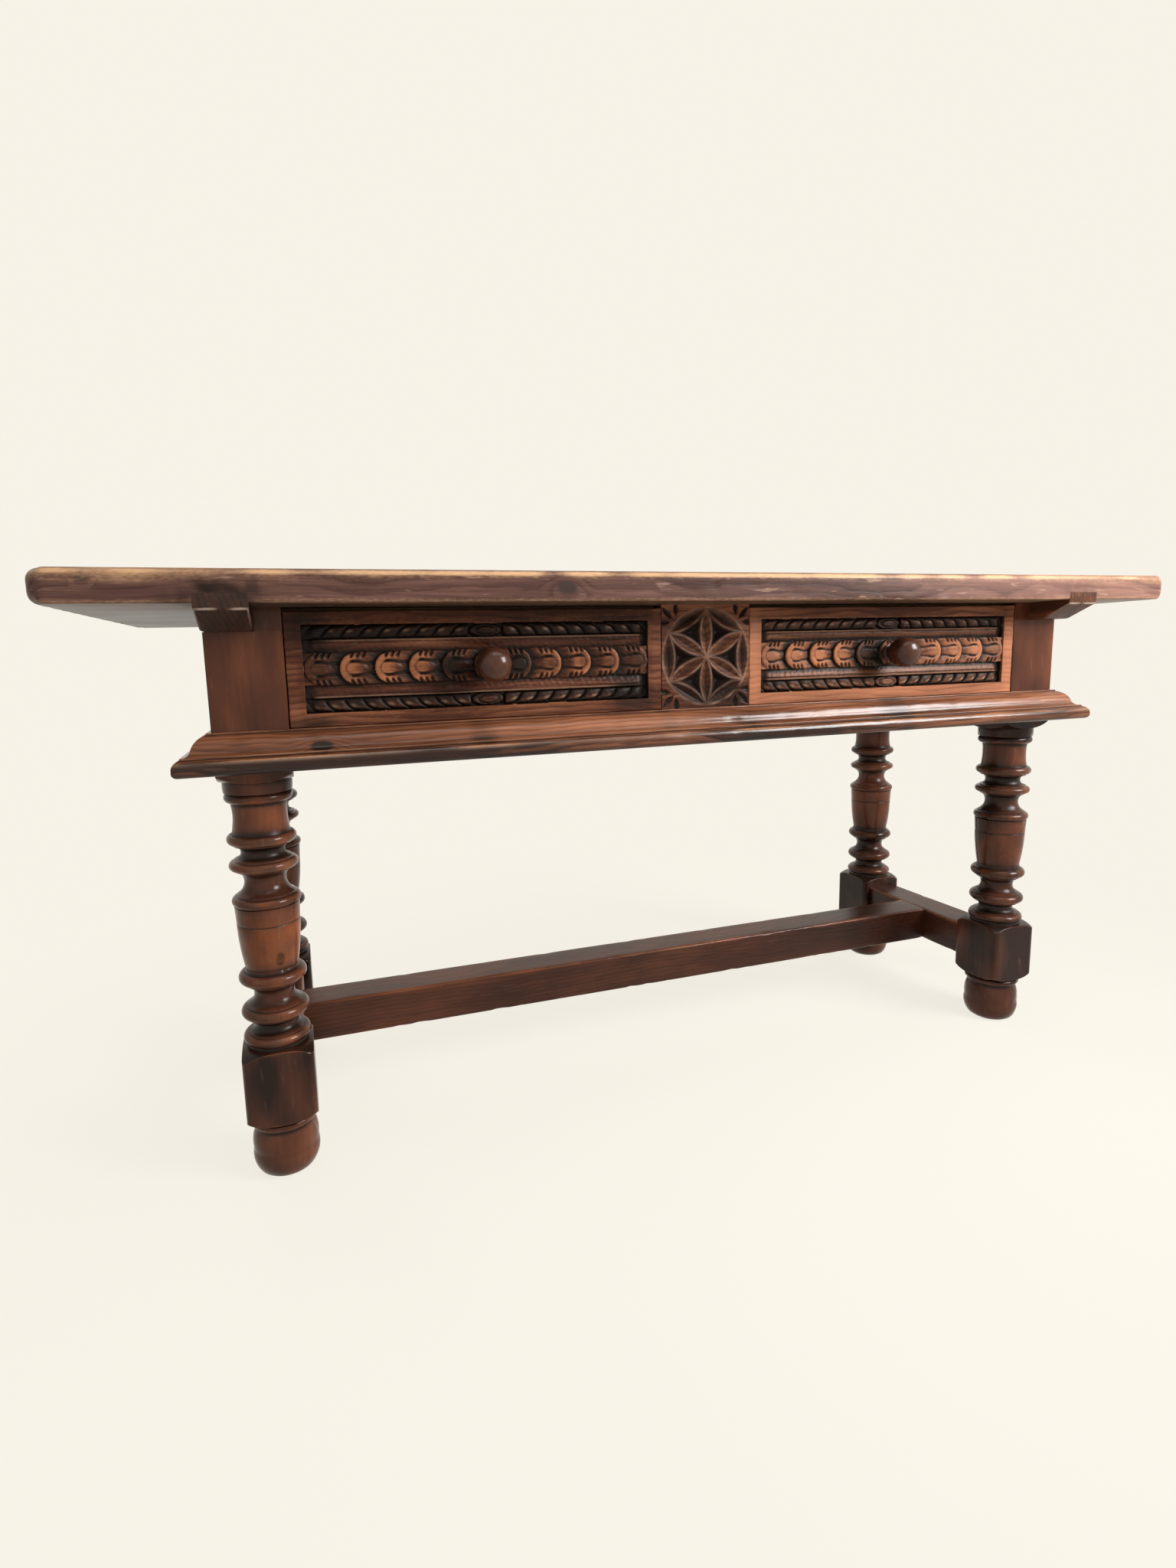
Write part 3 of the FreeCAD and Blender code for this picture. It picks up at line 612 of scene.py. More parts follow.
def squareReach(angle, half, arris):
    # distance from the axis to the side of a square with rounded corners
    ways = abs(np.cos(angle)), abs(np.sin(angle))
    across, along = np.maximum(*ways), np.minimum(*ways)
    flat = half / across
    inner = half - arris
    mid = inner * (across + along)
    corner = mid + np.sqrt(np.maximum(mid * mid - 2 * inner * inner + arris * arris, 0))
    return np.where(flat * along > inner, corner, flat)


def legOutline():
    # the shoulders of the squares need close rows, or their arches turn out jagged
    outline = traced(legSteps, leg["lineStep"], leg["arcCount"])
    fine = []
    for lower, upper in zip(outline[:-1], outline[1:]):
        (r0, _), (r1, _) = lower, upper
        onShoulder = max(r0, r1) > leg["shoulderLow"] and min(r0, r1) < leg["shoulderHigh"]
        count = max(1, math.ceil(abs(r1 - r0))) if onShoulder else 1
        fine += [tuple(lower)] + between(lower, upper, count)[:-1]
    return np.array(fine + [tuple(outline[-1])])


def makeLeg(name, signX, signY, stain, rubbed, seed):
    turned, height = legOutline().T[:, :, None]
    angle = (np.arange(leg["sides"]) + 0.5) * 2 * math.pi / leg["sides"]
    inBlock = height < leg["blockTop"]
    arris = np.where(inBlock, leg["blockArris"], leg["arris"])
    square = squareReach(angle, leg["half"], arris)
    meet = clipped(0.5 + 0.5 * (turned - square) / leg["blend"])  # the saw-cut corners are softened by wear
    reach = turned * (1 - meet) + square * meet - leg["blend"] * meet * (1 - meet)
    spots = stacked(reach * np.cos(angle), reach * np.sin(angle), height)
    reach = reach - clipped(ripple(spots, 30, seed) - 0.5) * leg["dent"] * (turned < leg["turnedMax"])
    points = stacked(signX * leg["x"] + reach * np.cos(angle), signY * leg["y"] + reach * np.sin(angle), height)
    # crests are rubbed light and given a painted highlight, quirks hold wax and dirt and are darkened further as
    # painted shade
    level = np.linspace(0, leg["top"], leg["levels"])
    profile = np.interp(level, height[:, 0], np.minimum(turned[:, 0], leg["half"]))
    crest = np.interp(height, level, profile - softened(profile, leg["crestReach"]))
    wear = (0.4 + 0.32 * rubbed) * clipped(crest / 2.6) * (0.75 + 0.35 * ripple(spots, 40, seed + 1))
    fullCorner = leg["half"] * math.sqrt(2) - arris * (math.sqrt(2) - 1)
    corner = eased(reach - fullCorner, -3.5, -0.5) * (turned > leg["squareMin"])
    corner = corner * (0.22 + 0.16 * ripple(spots, 90, seed + 2)) * np.where(inBlock, 1.0, 0.4)
    # the arch edge of each shoulder is lightened, as wear and as a painted highlight
    arch = 0.5 * bell(turned, square, 0.9) * inBlock
    handled = rubbed * np.interp(height, *zip(*legRubbed)) * (0.85 + 0.45 * ripple(spots, 45, seed + 4))
    for more in (corner, arch, handled):
        wear = np.maximum(wear, more)
    paintedHighlight = 0.2 * rubbed * clipped((crest - 1.2) / 2.0) * (0.7 + 0.5 * ripple(spots, 55, seed + 5))
    grime = 0.95 * clipped(-crest / 1.8) + 0.3 * eased(0.5 + ripple(spots, 120, seed + 3), 0.5, 1.2)
    shoulder = eased(square - turned, 0.0, 1.5) * (turned > leg["turnedMax"]) * inBlock
    grime = grime + shoulder * np.where(height > leg["blockMiddle"], 0.75, 0.2)
    grime = grime + 0.85 * bell(height, leg["lineAt"], leg["lineWide"])  # scribed line round the vase
    shade = np.interp(height, *zip(*legTones)) + stain * (height < leg["stainTop"])
    shade = shade + 0.16 * ripple(spots, 80, seed + 6)
    allPoints = points.reshape(-1, 3).tolist()
    inner, outer = sorted((signX * leg["tongueInner"], signX * leg["tongueOuter"]))
    tongue, sides = boxPoints((inner, signY * leg["y"] - leg["half"], leg["postTop"]),
                              (outer, signY * leg["y"] + leg["half"], leg["top"]), len(allPoints))
    faces = gridFaces(*reach.shape, closed=True) + sides
    addPiece("leg_" + name, allPoints + tongue, faces, [legPine], "table_frame", ["leg_" + name],
             {"wear": wear, "grime": grime, "pale": clipped(paintedHighlight), "shade": shade,
              "board": leg["boardStep"] * seed % 1.0}, 42)


for name, values in legs.items():
    makeLeg(name, **values)
print("legs turned")


# base moulding, mitred round the frame

moulding = {"halfX": 661.0, "halfY": 209.0, "low": 548.0, "height": 48.0, "reach": 41.0, "rowStep": 9.0,
            "lineStep": 1.4, "arcCount": 12, "rub": 1.1, "pale": 0.34, "boardStep": 0.17}
# shares of the reach and of the height, from the top inner edge outwards and down
mouldingSteps = (
    (0, 1), (0.10, 1), (0.12, 0.995, 0.125, 0.985), (0.122, 0.955), (0.155, 0.952), (0.37, 0.845, 0.52, 0.64),
    (0.585, 0.525, 0.715, 0.47), (0.77, 0.47), (0.79, 0.465, 0.795, 0.455), (0.79, 0.425), (0.815, 0.42),
    (0.965, 0.32, 1, 0.18), (0.965, 0.05, 0.86, 0), (0, 0))
# strength, then reach and width, rise and width of each mark on the profile
# the nose is worn and lightened as a painted highlight line, the quirks and the cove are darkened as painted shade,
# and the bead gets painted highlight lines
mouldingMarks = {
    "nose": ((1.0, 38.0, 1.6, 16.5, 2.5),),
    "quirk": ((1.0, 6.2, 1.6, 45.6, 1.5), (1.0, 33.6, 1.7, 19.8, 1.7)),
    "paintedHighlight": ((1.0, 39.2, 1.5, 15.2, 1.8), (0.7, 31.8, 0.9, 22.4, 1.0)),
    "cove": ((0.45, 24.5, 3.0, 26.0, 5.0),),
}


def makeMoulding(name, alongX, sign, finish, seed):
    scale = (moulding["reach"], moulding["height"]) * 2
    steps = [tuple(share * size for share, size in zip(step, scale)) for step in mouldingSteps]
    reach, rise = traced(steps, moulding["lineStep"], moulding["arcCount"]).T
    sides = moulding["halfX"], moulding["halfY"]
    run, away = sides if alongX else sides[::-1]
    count = max(8, round(2 * run / moulding["rowStep"]))
    length = np.linspace(-1, 1, count + 1)[:, None] * (run + reach)
    spots = stacked(length, reach, rise)
    rub = clipped(ripple(spots, 22, seed) - 0.5) * moulding["rub"] * eased(reach, 2, 10) * eased(rise, -1, 4)
    points = stacked(length, sign * (away + np.maximum(reach - rub, 0)), moulding["low"] + rise)
    if not alongX:
        points = points[..., [1, 0, 2]]
    nose, quirk, paintedHighlight, cove = (
        sum(strength * bell(reach, out, wide) * bell(rise, up, tall) for strength, out, wide, up, tall in spread)
        for spread in mouldingMarks.values())
    # worn fillet edges, lightened further as painted highlight lines
    brow = bell(reach, 4.5, 1.6) + bell(reach, 32.0, 1.1) * 0.8
    # under the nose and on the bottom the moulding is darkened as painted shade, and the nose is darkened as painted
    # shade, less towards the right where the light falls
    under = 0.5 * eased(reach, 33, 40) * eased(-rise, -9, -3) + (rise < 0.5)
    paintedNoseShade = eased(reach, 32.5, 34) * eased(-rise, -19.5, -17.5)
    mottle = ripple(spots, 140, seed + 1)
    addPiece("moulding_" + name, points.reshape(-1, 3), gridFaces(*length.shape, closed=True), [finish],
             "table_frame", ["base_moulding_" + name],
             {"wear": (0.8 * nose + 0.6 * brow) * (0.7 + 0.5 * mottle),
              "grime": quirk + cove + 0.9 * under + clipped(mottle - 0.5) * 0.5,
              "pale": moulding["pale"] * paintedHighlight * clipped(0.75 + 0.5 * mottle),
              "shade": (0.35 * eased(points[..., 0], -350, 350) - 0.5) * paintedNoseShade,
              "board": moulding["boardStep"] * seed % 1.0}, 38)


makeMoulding("front", True, -1, mouldingPine, 31)
makeMoulding("rear", True, 1, mouldingPine, 37)
makeMoulding("left", False, -1, mouldingCross, 41)
makeMoulding("right", False, 1, mouldingCross, 43)
print("moulding run")


# stretchers, an H of plain bars with rubbed arrises

stretcher = {"halfWide": 31.5, "halfTall": 30.0, "centreZ": 132.0, "arris": 3.6, "legX": 616.5, "innerX": 585.0,
             "legInnerY": 120.0, "rowStep": 10.0, "sectionStep": 8.0, "arcCount": 6, "rub": 0.035, "boardStep": 0.19}


def makeBar(name, alongX, middle, half, finish, seed):
    section, _ = roundedOutline(stretcher["halfWide"], stretcher["halfTall"], stretcher["arris"],
                                stretcher["sectionStep"], stretcher["arcCount"])
    wide, tall = section.T
    count = max(6, round(2 * half / stretcher["rowStep"]))
    spots = stacked(np.linspace(-half, half, count + 1)[:, None], wide, tall)
    nearCorner = eased(abs(wide) / stretcher["halfWide"] + abs(tall) / stretcher["halfTall"], 1.82, 1.95)
    shrink = 1 - clipped(ripple(spots, 35, seed) - 0.35) * stretcher["rub"] * nearCorner
    points = stacked(spots[..., 0], middle + wide * shrink, stretcher["centreZ"] + tall * shrink)
    if not alongX:
        points = points[..., [1, 0, 2]]
    wear = nearCorner * (0.7 + 0.4 * ripple(spots, 90, seed + 1)) * np.where(tall > 0, 1.0, 0.5)
    addPiece("bar_" + name, points.reshape(-1, 3), gridFaces(*shrink.shape, closed=True), [finish],
             "table_frame", [name],
             {"wear": wear, "grime": 0.3 * clipped(ripple(spots, 160, seed + 2)),
              "shade": 0.08 - 0.26 * eased(points[..., 0], 0, 600), "board": stretcher["boardStep"] * seed % 1.0}, 40)


makeBar("side_stretcher_left", False, -stretcher["legX"], stretcher["legInnerY"], barCross, 51)
makeBar("side_stretcher_right", False, stretcher["legX"], stretcher["legInnerY"], barCross, 53)
makeBar("centre_stretcher", True, 0.0, stretcher["innerX"], barPine, 57)
print("stretchers made")


# carved drawer fronts

front = {"half": 249.8, "low": 596.4, "high": 737.4, "halfTall": 70.5, "face": -209.0, "lap": 10.0, "thick": 24.0,
         "sideThick": 13.0, "sideTop": 717.4, "fieldHalf": 229.8, "arris": 1.6, "margin": 2.4, "grid": 0.82,
         "edgeGrid": 0.6, "hollowReach": 4, "boardStep": 0.23, "backDirt": 0.05}
# the right front is stained lighter, partly as painted light from the right; the dark patches are smudges and the
# painted shadows of the right knob and of the top; the strip darkening is dirt and painted shade
fronts = {
    "left": {"centre": -321.0, "stain": -0.1, "rubbed": 0.78, "stripDirtAndShade": -0.1, "seed": 61,
             "smudgesAndShadows": ((-52, 0, 22, 19), (46, 0, 17, 19), (205, -48, 34, 26), (-228, 48, 30, 30),
                         (-228, -66, 40, 9))},
    "right": {"centre": 321.0, "stain": 0.4, "rubbed": 0.95, "stripDirtAndShade": 0.3, "seed": 66,
              "smudgesAndShadows": ((-40, 2, 31, 20),)},
}
carving = {
    "bandHalf": 20.0, "ridge": 36.0, "rope": 53.5,  # heights from the middle where each band ends
    "firstScale": 17.5, "scalePitch": 42.4, "scaleDrop": 5.0, "scaleTints": (0.45, 0.75, 1.0, 1.0, 0.9, 0.35),
    "tongueHalf": 8.8, "tongueSet": 7.5, "grooveDeep": 2.5, "grooveWide": 1.6,
    "notchCount": 3, "notchSet": 15.5, "notchPitch": 7.2, "notchAt": 18.0, "notchDeep": 2.6,
    "ropeLobes": 9, "ropeSlant": 13.0, "ropeBed": 8.6, "ropeCrest": 1.6, "boss": 23.5,
    "filletDeep": 6.2, "filletRise": 3.4, "ridgeAt": 0.92, "pocketFrom": 16.0, "pocketFull": 5.0,
}


def spaced(stops):
    # positions from (end, spacing) stops, close together where the carving is
    line = [stops[0]]
    for end, step in stops[1:]:
        count = max(1, math.ceil((end - line[-1]) / step))
        line += list(line[-1] + (end - line[-1]) * np.arange(1, count + 1) / count)
    return np.array(line)


def scaleBand(out, z):
    # overlapping round-ended scales that point away from the knob
    radius, tongueHalf = carving["bandHalf"], carving["tongueHalf"]
    depth = np.full(out.shape, carving["scaleDrop"] * 0.5)
    bright = np.zeros(out.shape)
    dark = np.full(out.shape, 0.3)
    taken = np.zeros(out.shape, bool)
    backRim = np.full(out.shape, carving["scalePitch"])  # room past the scale before; the first has none before it
    for k, tint in enumerate(carving["scaleTints"]):
        edge = carving["firstScale"] + carving["scalePitch"] * k
        rim = radius - np.hypot(np.maximum(out - (edge - radius), 0), z)  # room left to the round end
        here = (rim >= 0) & ~taken
        taken |= rim >= 0
        climb = carving["scaleDrop"] * (1 - eased(backRim, -6.0, 26.0))
        lip = 1.1 * np.exp(-rim / 1.4)
        tongueEnd = edge - carving["tongueSet"] - tongueHalf
        tongue = np.hypot(np.maximum(out - tongueEnd, 0), z) - tongueHalf
        tongue = tongue + 2.2 * (1 - eased(out, edge - 34, edge - 18))
        # two gouge strokes beside the tongue, deepest where it turns and lost towards its end
        stroke = (0.25 + 0.75 * eased(tongueEnd + 6.5 - out, 0, 6)) * (0.5 + 0.5 * bell(out, tongueEnd, 10.0))
        groove = carving["grooveDeep"] * stroke * bell(tongue, 0, carving["grooveWide"])
        swell = -0.9 * clipped(1 - (tongue + tongueHalf) / tongueHalf)
        notches = np.zeros(out.shape)
        for j in range(carving["notchCount"]):
            beyond = out - (edge - carving["notchSet"] - carving["notchPitch"] * j)
            up = abs(z) - carving["notchAt"]
            slant, across = beyond * 0.9 + up * 0.42, -beyond * 0.42 + up * 0.9
            notches = np.maximum(notches, np.exp(-(slant / 1.9) ** 4 - (across / 5.2) ** 4))
        shape = climb + lip + groove + np.where(tongue < 0, swell, 0) + carving["notchDeep"] * notches
        # the scales are lighter towards their round ends and darker near the rim of the scale before, as wear and
        # painted light
        crescent = bell(rim, 4.0, 4.6) * eased(out, edge - 26, edge - 8)
        face = 0.8 * eased(backRim, 5, 27) * eased(-abs(z), -20, -13)
        rubbed = tint * np.clip(0.25 * crescent + face, 0, 0.85)
        rubbed = rubbed * (1 - 0.9 * clipped(groove / 1.8)) * (1 - 0.8 * notches)
        # a painted shadow just past the rim of the scale before, and the gouges and notches darkened as painted shade;
        # the scales next to the knob and at the ends are darker still
        shadow = clipped(1 - backRim / 13)
        dirtAndShade = 0.1 + 0.65 * clipped(groove / 2.0) + 0.45 * notches + 0.75 * shadow + (1 - tint) * 0.35
        depth, bright, dark = np.where(here, (shape, rubbed, dirtAndShade), (depth, bright, dark))
        backRim = -rim
    return depth, bright, dark


def ropeBand(x, v):
    # curled strands with a boss between the two halves; v runs from -1 at the ridge to 1 at the border
    pitch = (front["fieldHalf"] - carving["boss"]) / carving["ropeLobes"]
    walk = (abs(x) - carving["boss"] + carving["ropeSlant"] * clipped((v + 1) / 2) ** 1.8) / pitch
    strand = walk - np.floor(walk) - 0.5
    lobe = np.sqrt(clipped(1 - (2 * abs(strand)) ** 2.6))
    barrel = np.sqrt(clipped(1 - abs(v) ** 2.6))
    bulge = barrel * (0.15 + 0.85 * lobe) * (0.86 - 0.28 * strand)
    oval = np.hypot(x / (carving["boss"] - 1.0), v)  # 1 at the edge of the boss
    boss = 0.92 * np.sqrt(clipped(1 - oval ** 4)) - 0.3 * bell(oval, 0.62, 0.13)
    nearBoss = abs(x) < carving["boss"]
    bulge = np.where(nearBoss, boss, bulge)
    depth = carving["ropeBed"] - (carving["ropeBed"] - carving["ropeCrest"]) * bulge
    # the rope is dark, lighter on each strand's crest and darker between strands, as painted highlight and painted
    # shade, with a painted glint on each strand
    bright = 0.4 * clipped((bulge - 0.62) / 0.3) * eased(v, 0.0, 0.7)
    dark = 0.92 - 0.26 * bulge - 0.12 * boss * nearBoss - 0.3 * eased(bulge, 0.72, 0.95) * eased(v, -0.1, 0.5)
    glint = np.where(nearBoss, 0.4 * boss, lobe) ** 2 * bell(v, 0.12, 0.3) * eased(strand + 0.5, 0.4, 0.8)
    return depth, bright, dark - 0.55 * glint, glint


def carvedDepth(x, z):
    # how deep the carving goes, where it is rubbed or painted lighter, where it is dirty or darkened as painted shade,
    # and the painted highlights on ridges and rope
    out, reach = abs(x), abs(z)
    inField = out < front["fieldHalf"]
    band = inField & (reach < carving["bandHalf"])
    strip = inField & (reach >= carving["bandHalf"]) & (reach < carving["ridge"])
    rope = inField & (reach >= carving["ridge"]) & (reach < carving["rope"])
    share = (reach - carving["bandHalf"]) / (carving["ridge"] - carving["bandHalf"])
    fillet = carving["filletDeep"] - carving["filletRise"] * eased(share, 0.0, 0.75)
    fillet = fillet - 2.0 * bell(share, carving["ridgeAt"], 0.06) + 0.9 * bell(share, 0.78, 0.05)
    # the strips darken towards the scale band, as painted shade and dirt
    filletShadeAndDirt = 0.44 - 0.28 * eased(share, 0.05, 0.5) + 0.25 * bell(share, 0.76, 0.07)
    middle, half = (carving["ridge"] + carving["rope"]) / 2, (carving["rope"] - carving["ridge"]) / 2
    *twist, glint = ropeBand(x, (reach - middle) / half)
    layers = np.zeros((3, *x.shape))
    for chosen, values in ((band, scaleBand(out, z)), (rope, twist), (strip, (fillet, 0 * fillet, filletShadeAndDirt))):
        layers = np.where(chosen, values, layers)
    depth, bright, dark = layers
    sunk = rope | strip
    # the ends of the sunk channels go deeper and are darkened as painted shade
    pocket = eased(out, front["fieldHalf"] - carving["pocketFrom"], front["fieldHalf"] - carving["pocketFull"])
    depth = np.where(sunk, depth + pocket * (carving["ropeBed"] - depth) * 0.7, depth)
    dark = np.where(sunk, np.maximum(dark, pocket * 0.9), dark)
    turn = clipped(1 - np.minimum(front["half"] - out, front["halfTall"] - reach) / front["arris"])
    depth = depth + front["arris"] * 0.6 * (1 - np.sqrt(1 - 0.98 * turn ** 2))
    # a painted highlight along each strip's ridge and on the rope glints
    ridge = (strip * bell(share, carving["ridgeAt"], 0.07) + 1.3 * rope * glint) * (1 - pocket)
    past = np.maximum(np.maximum(out - front["fieldHalf"], reach - carving["rope"]), 0)
    lip = np.where(inField & (reach <= carving["rope"]), 0, np.exp(-past / 1.4))
    bright = np.maximum(bright * (1 - pocket * sunk), 0.25 * eased(turn, 0.1, 0.8))
    return depth, np.maximum(bright, 0.4 * lip), dark, ridge


def reliefBoard(columns, rows, depth, face, thick):
    # carved face, edges and back of a board; depth is into the wood
    x, z = np.meshgrid(columns, rows, indexing="ij")
    points = stacked(x, face + depth, z).reshape(-1, 3).tolist()
    index = np.arange(x.size).reshape(x.shape)
    loop = np.concatenate([index[:, 0], index[-1, 1:], index[-2::-1, -1], index[0, -2:0:-1]]).tolist()
    start, count = len(points), len(loop)
    points += [(points[i][0], face + thick, points[i][2]) for i in loop]
    edges = [[loop[i], loop[(i + 1) % count], start + (i + 1) % count, start + i] for i in range(count)]
    return points, gridFaces(*x.shape) + edges + [list(range(start, start + count))]


def frontGrid(half, fieldEnd, coarse):
    # even steps in the field, wide ones in the border and close ones at the arris
    margin = half - front["margin"]
    return spaced([-half, (-margin, front["edgeGrid"]), (-fieldEnd, coarse), (fieldEnd, front["grid"]),
                   (margin, coarse), (half, front["edgeGrid"])])


def makeFront(side, centre, stain, rubbed, stripDirtAndShade, smudgesAndShadows, seed):
    columns = frontGrid(front["half"], front["fieldHalf"] + 2, 8.0)
    rows = frontGrid(front["halfTall"], carving["rope"] + 1.5, 6.0)
    x, z = np.meshgrid(columns, rows, indexing="ij")
    spots = np.stack([x + 1000 * seed, z], axis=-1)
    waver = 0.35 * ripple(spots, 38, seed)
    depth, bright, dark, ridge = carvedDepth(x + waver, z + 0.5 * waver)
    depth = np.maximum(depth + np.where(depth > 0.4, 0.25 * ripple(spots, 9, seed + 1), 0), 0)
    hollow = depth - softened(depth, front["hollowReach"])
    inward = eased(np.minimum(front["half"] - abs(x), front["halfTall"] - abs(z)), 0, 3)
    # raised spots are lightened and hollows darkened, as wear and dirt and as painted highlight and shade
    bright = bright * rubbed * (0.8 + 0.4 * ripple(spots, 45, seed + 2)) + np.clip(-hollow / 6.0, 0, 0.25) * inward
    dark = clipped(dark + np.clip(hollow / 4.5, 0, 0.35)) + 0.12 * clipped(ripple(spots, 90, seed + 3))
    inStrip = eased(abs(z), 19, 22) * (1 - eased(abs(z), 33, 36)) * (abs(x) < front["fieldHalf"])
    dark = dark + stripDirtAndShade * inStrip
    # dark patches: smudges, and painted shadows of the knob and of the top
    for spotX, spotZ, wide, tall in smudgesAndShadows:
        dark = dark + 0.6 * np.exp(-((x - spotX + 4 * waver) / wide) ** 4 - ((z - spotZ) / tall) ** 4)
    # the top border is darkened as painted shade under the top, and the bottom border and the ends are lightened as
    # painted light
    shade = stain + 0.1 * eased(-z, 20, 66) - 0.28 * eased(z, 20, 66) + 0.2 * eased(abs(x), 229, 238)
    shade = shade + 0.1 * ripple(spots, 150, seed + 4)
    middle = (front["low"] + front["high"]) / 2
    points, faces = reliefBoard(columns + centre, rows + middle, depth, front["face"], front["lap"])
    # behind the lap the front is narrower where the sides stand, and full above them
    near, rear = front["face"] + front["lap"], front["face"] + front["thick"]
    inner = front["half"] - front["sideThick"]
    for half, low, high in ((inner, front["low"], front["sideTop"]),
                            (front["half"], front["sideTop"], front["high"])):
        corners, sides = boxPoints((centre - half, near, low), (centre + half, rear, high), len(points))
        points += corners
        faces += sides
    grime = np.append(dark, np.full(len(points) - x.size, front["backDirt"]))
    addPiece("carvedFront_" + side, points, faces, [carvedPine], side + "_drawer",
             [side + "_drawer_front"],
             {"wear": clipped(bright), "grime": grime, "shade": shade, "pale": 0.5 * ridge,
              "board": front["boardStep"] * seed % 1.0}, 60)


for side, values in fronts.items():
    makeFront(side, **values)
print("drawer fronts carved")


# rosette panel

rosette = {"half": 70.0, "low": 596.0, "high": 742.0, "face": -209.0, "thick": 25.0, "centreZ": 669.0,
           "radius": 68.5, "ridge": 1.5, "grid": 0.62, "leaf": 3.2, "leafHalf": 5.0, "pale": 0.46,
           # depth and width of the cuts, then their darkness, how much painted shade it gains towards the deep middle
           # and over what width
           "petal": (5.4, 8.1, 0.16, 0.3, 8.0), "rim": (5.2, 8.1, 0.3, 0.4, 7.0), "hollow": (9.0, 7.2, 0.5, 0.45, 5.0),
           # angle, turn, distance and length of the gouged leaves in each corner
           "leaves": ((45, 0, 86.0, 14.0), (35.5, -36, 82.5, 12.0), (54.5, 36, 82.5, 12.0))}


def rosetteDepth(x, z):
    radius = rosette["radius"]
    fromCentre = np.hypot(x, z)
    angles = [math.radians(30 + 60 * k) for k in range(6)]
    tips = [(radius * math.cos(angle), radius * math.sin(angle)) for angle in angles]
    nearest = abs(radius - fromCentre)
    inTips = np.zeros(x.shape, int)
    inRim = np.zeros(x.shape, bool)
    for (ax, az), (bx, bz) in zip(tips, tips[1:] + tips[:1]):
        away, far = np.hypot(x - ax, z - az), np.hypot(x - ax - bx, z - az - bz)
        nearest = np.minimum(nearest, np.minimum(abs(radius - away), abs(radius - far)))
        inTips += away < radius
        inRim |= far < radius
    # a petal lies in three of the six discs, a hollow in two, a rim leaf in two discs and a far one
    inside = fromCentre < radius
    petal = inside & (inTips >= 3) & ~inRim
    rim = inside & inRim
    hollow = inside & ~petal & ~rim
    room = np.maximum(nearest - rosette["ridge"], 0)
    leaf = np.zeros(x.shape)
    for angle, turn, out, long in rosette["leaves"]:
        way = math.radians(angle + turn)
        beyond = abs(x) - out * math.cos(math.radians(angle))
        above = abs(z) - (out * math.sin(math.radians(angle)) + 1.0)
        u, v = beyond * math.cos(way) + above * math.sin(way), -beyond * math.sin(way) + above * math.cos(way)
        wide = rosette["leafHalf"] * np.clip(1 - (u / (long + 1)) ** 2, 0.05, 1)
        leaf = np.maximum(leaf, clipped(1 - (u / long) ** 2 - abs(v) / wide))
    depth = rosette["leaf"] * leaf ** 0.7 * (fromCentre > radius + 1.5)
    # the gouged leaves are darkened as painted shade
    dark = np.clip(1.3 * leaf, 0, 0.9)
    for cell, key in ((petal, "petal"), (rim, "rim"), (hollow, "hollow")):
        deep, wide, dirtAndShade, more, spread = rosette[key]
        depth = np.where(cell, deep * clipped(room / wide) ** 0.85, depth)
        dark = np.where(cell, dirtAndShade + more * clipped(room / spread), dark)
    # a painted highlight along the ridges between the cuts
    bright = bell(np.minimum(nearest, 9), 0, 2.0) * (fromCentre < radius + 2)
    return depth, bright, dark


def makeRosette():
    columns = spaced([-rosette["half"], (rosette["half"], rosette["grid"])])
    rows = spaced([rosette["low"] - rosette["centreZ"], (rosette["high"] - rosette["centreZ"], rosette["grid"])])
    x, z = np.meshgrid(columns, rows, indexing="ij")
    spots = np.stack([x, z], axis=-1)
    waver = 0.3 * ripple(spots, 40, 81)
    depth, bright, dark = rosetteDepth(x + waver, z - waver)
    depth = np.maximum(depth + np.where(depth > 0.5, 0.2 * ripple(spots, 8, 82), 0), 0)
    bright = bright * clipped(0.5 + 0.4 * ripple(spots, 30, 83))
    dark = dark + 0.1 + 0.15 * clipped(ripple(spots, 60, 84))
    points, faces = reliefBoard(columns, rows + rosette["centreZ"], depth, rosette["face"], rosette["thick"])
    addPiece("rosettePanel", points, faces, [carvedPine], "table_frame", ["rosette_panel"],
             {"pale": rosette["pale"] * bright, "shade": 0.1 - 0.3 * eased(-z, 10, 70), "grime": dark}, 60)


makeRosette()
print("rosette carved")


# turned knobs

knob = {"face": -209.0, "height": 666.9, "sides": 72, "lineStep": 2.0, "arcCount": 12, "dirtAndShade": 0.6, "neck": 6.0,
        "neckWide": 4.0}
# radius and reach from the drawer face
knobSteps = (
    (12.4, 0), (12.9, 1.2, 12.2, 2.6), (9.6, 4.4, 9.9, 8), (11, 11.5, 15.6, 14.6), (21.2, 23, 22, 31.5),
    (20.6, 42.5, 13, 50.6), (7, 53.2, 0.4, 53.9))


def makeKnob(side, centre):
    radius, out = traced(knobSteps, knob["lineStep"], knob["arcCount"]).T[:, :, None]
    angle = np.arange(knob["sides"]) * 2 * math.pi / knob["sides"]
    points = stacked(centre + radius * np.cos(angle), knob["face"] - out, knob["height"] + radius * np.sin(angle))
    dirtAndShade = knob["dirtAndShade"] * bell(out, knob["neck"], knob["neckWide"]) + 0 * angle
    addPiece("knob_" + side, points.reshape(-1, 3), gridFaces(*dirtAndShade.shape, closed=True), [knobPine],
             side + "_drawer", [side + "_drawer_knob"], {"grime": dirtAndShade}, 40)


for side, values in fronts.items():
    makeKnob(side, values["centre"])
print("knobs turned")


# plain boards keep their solids

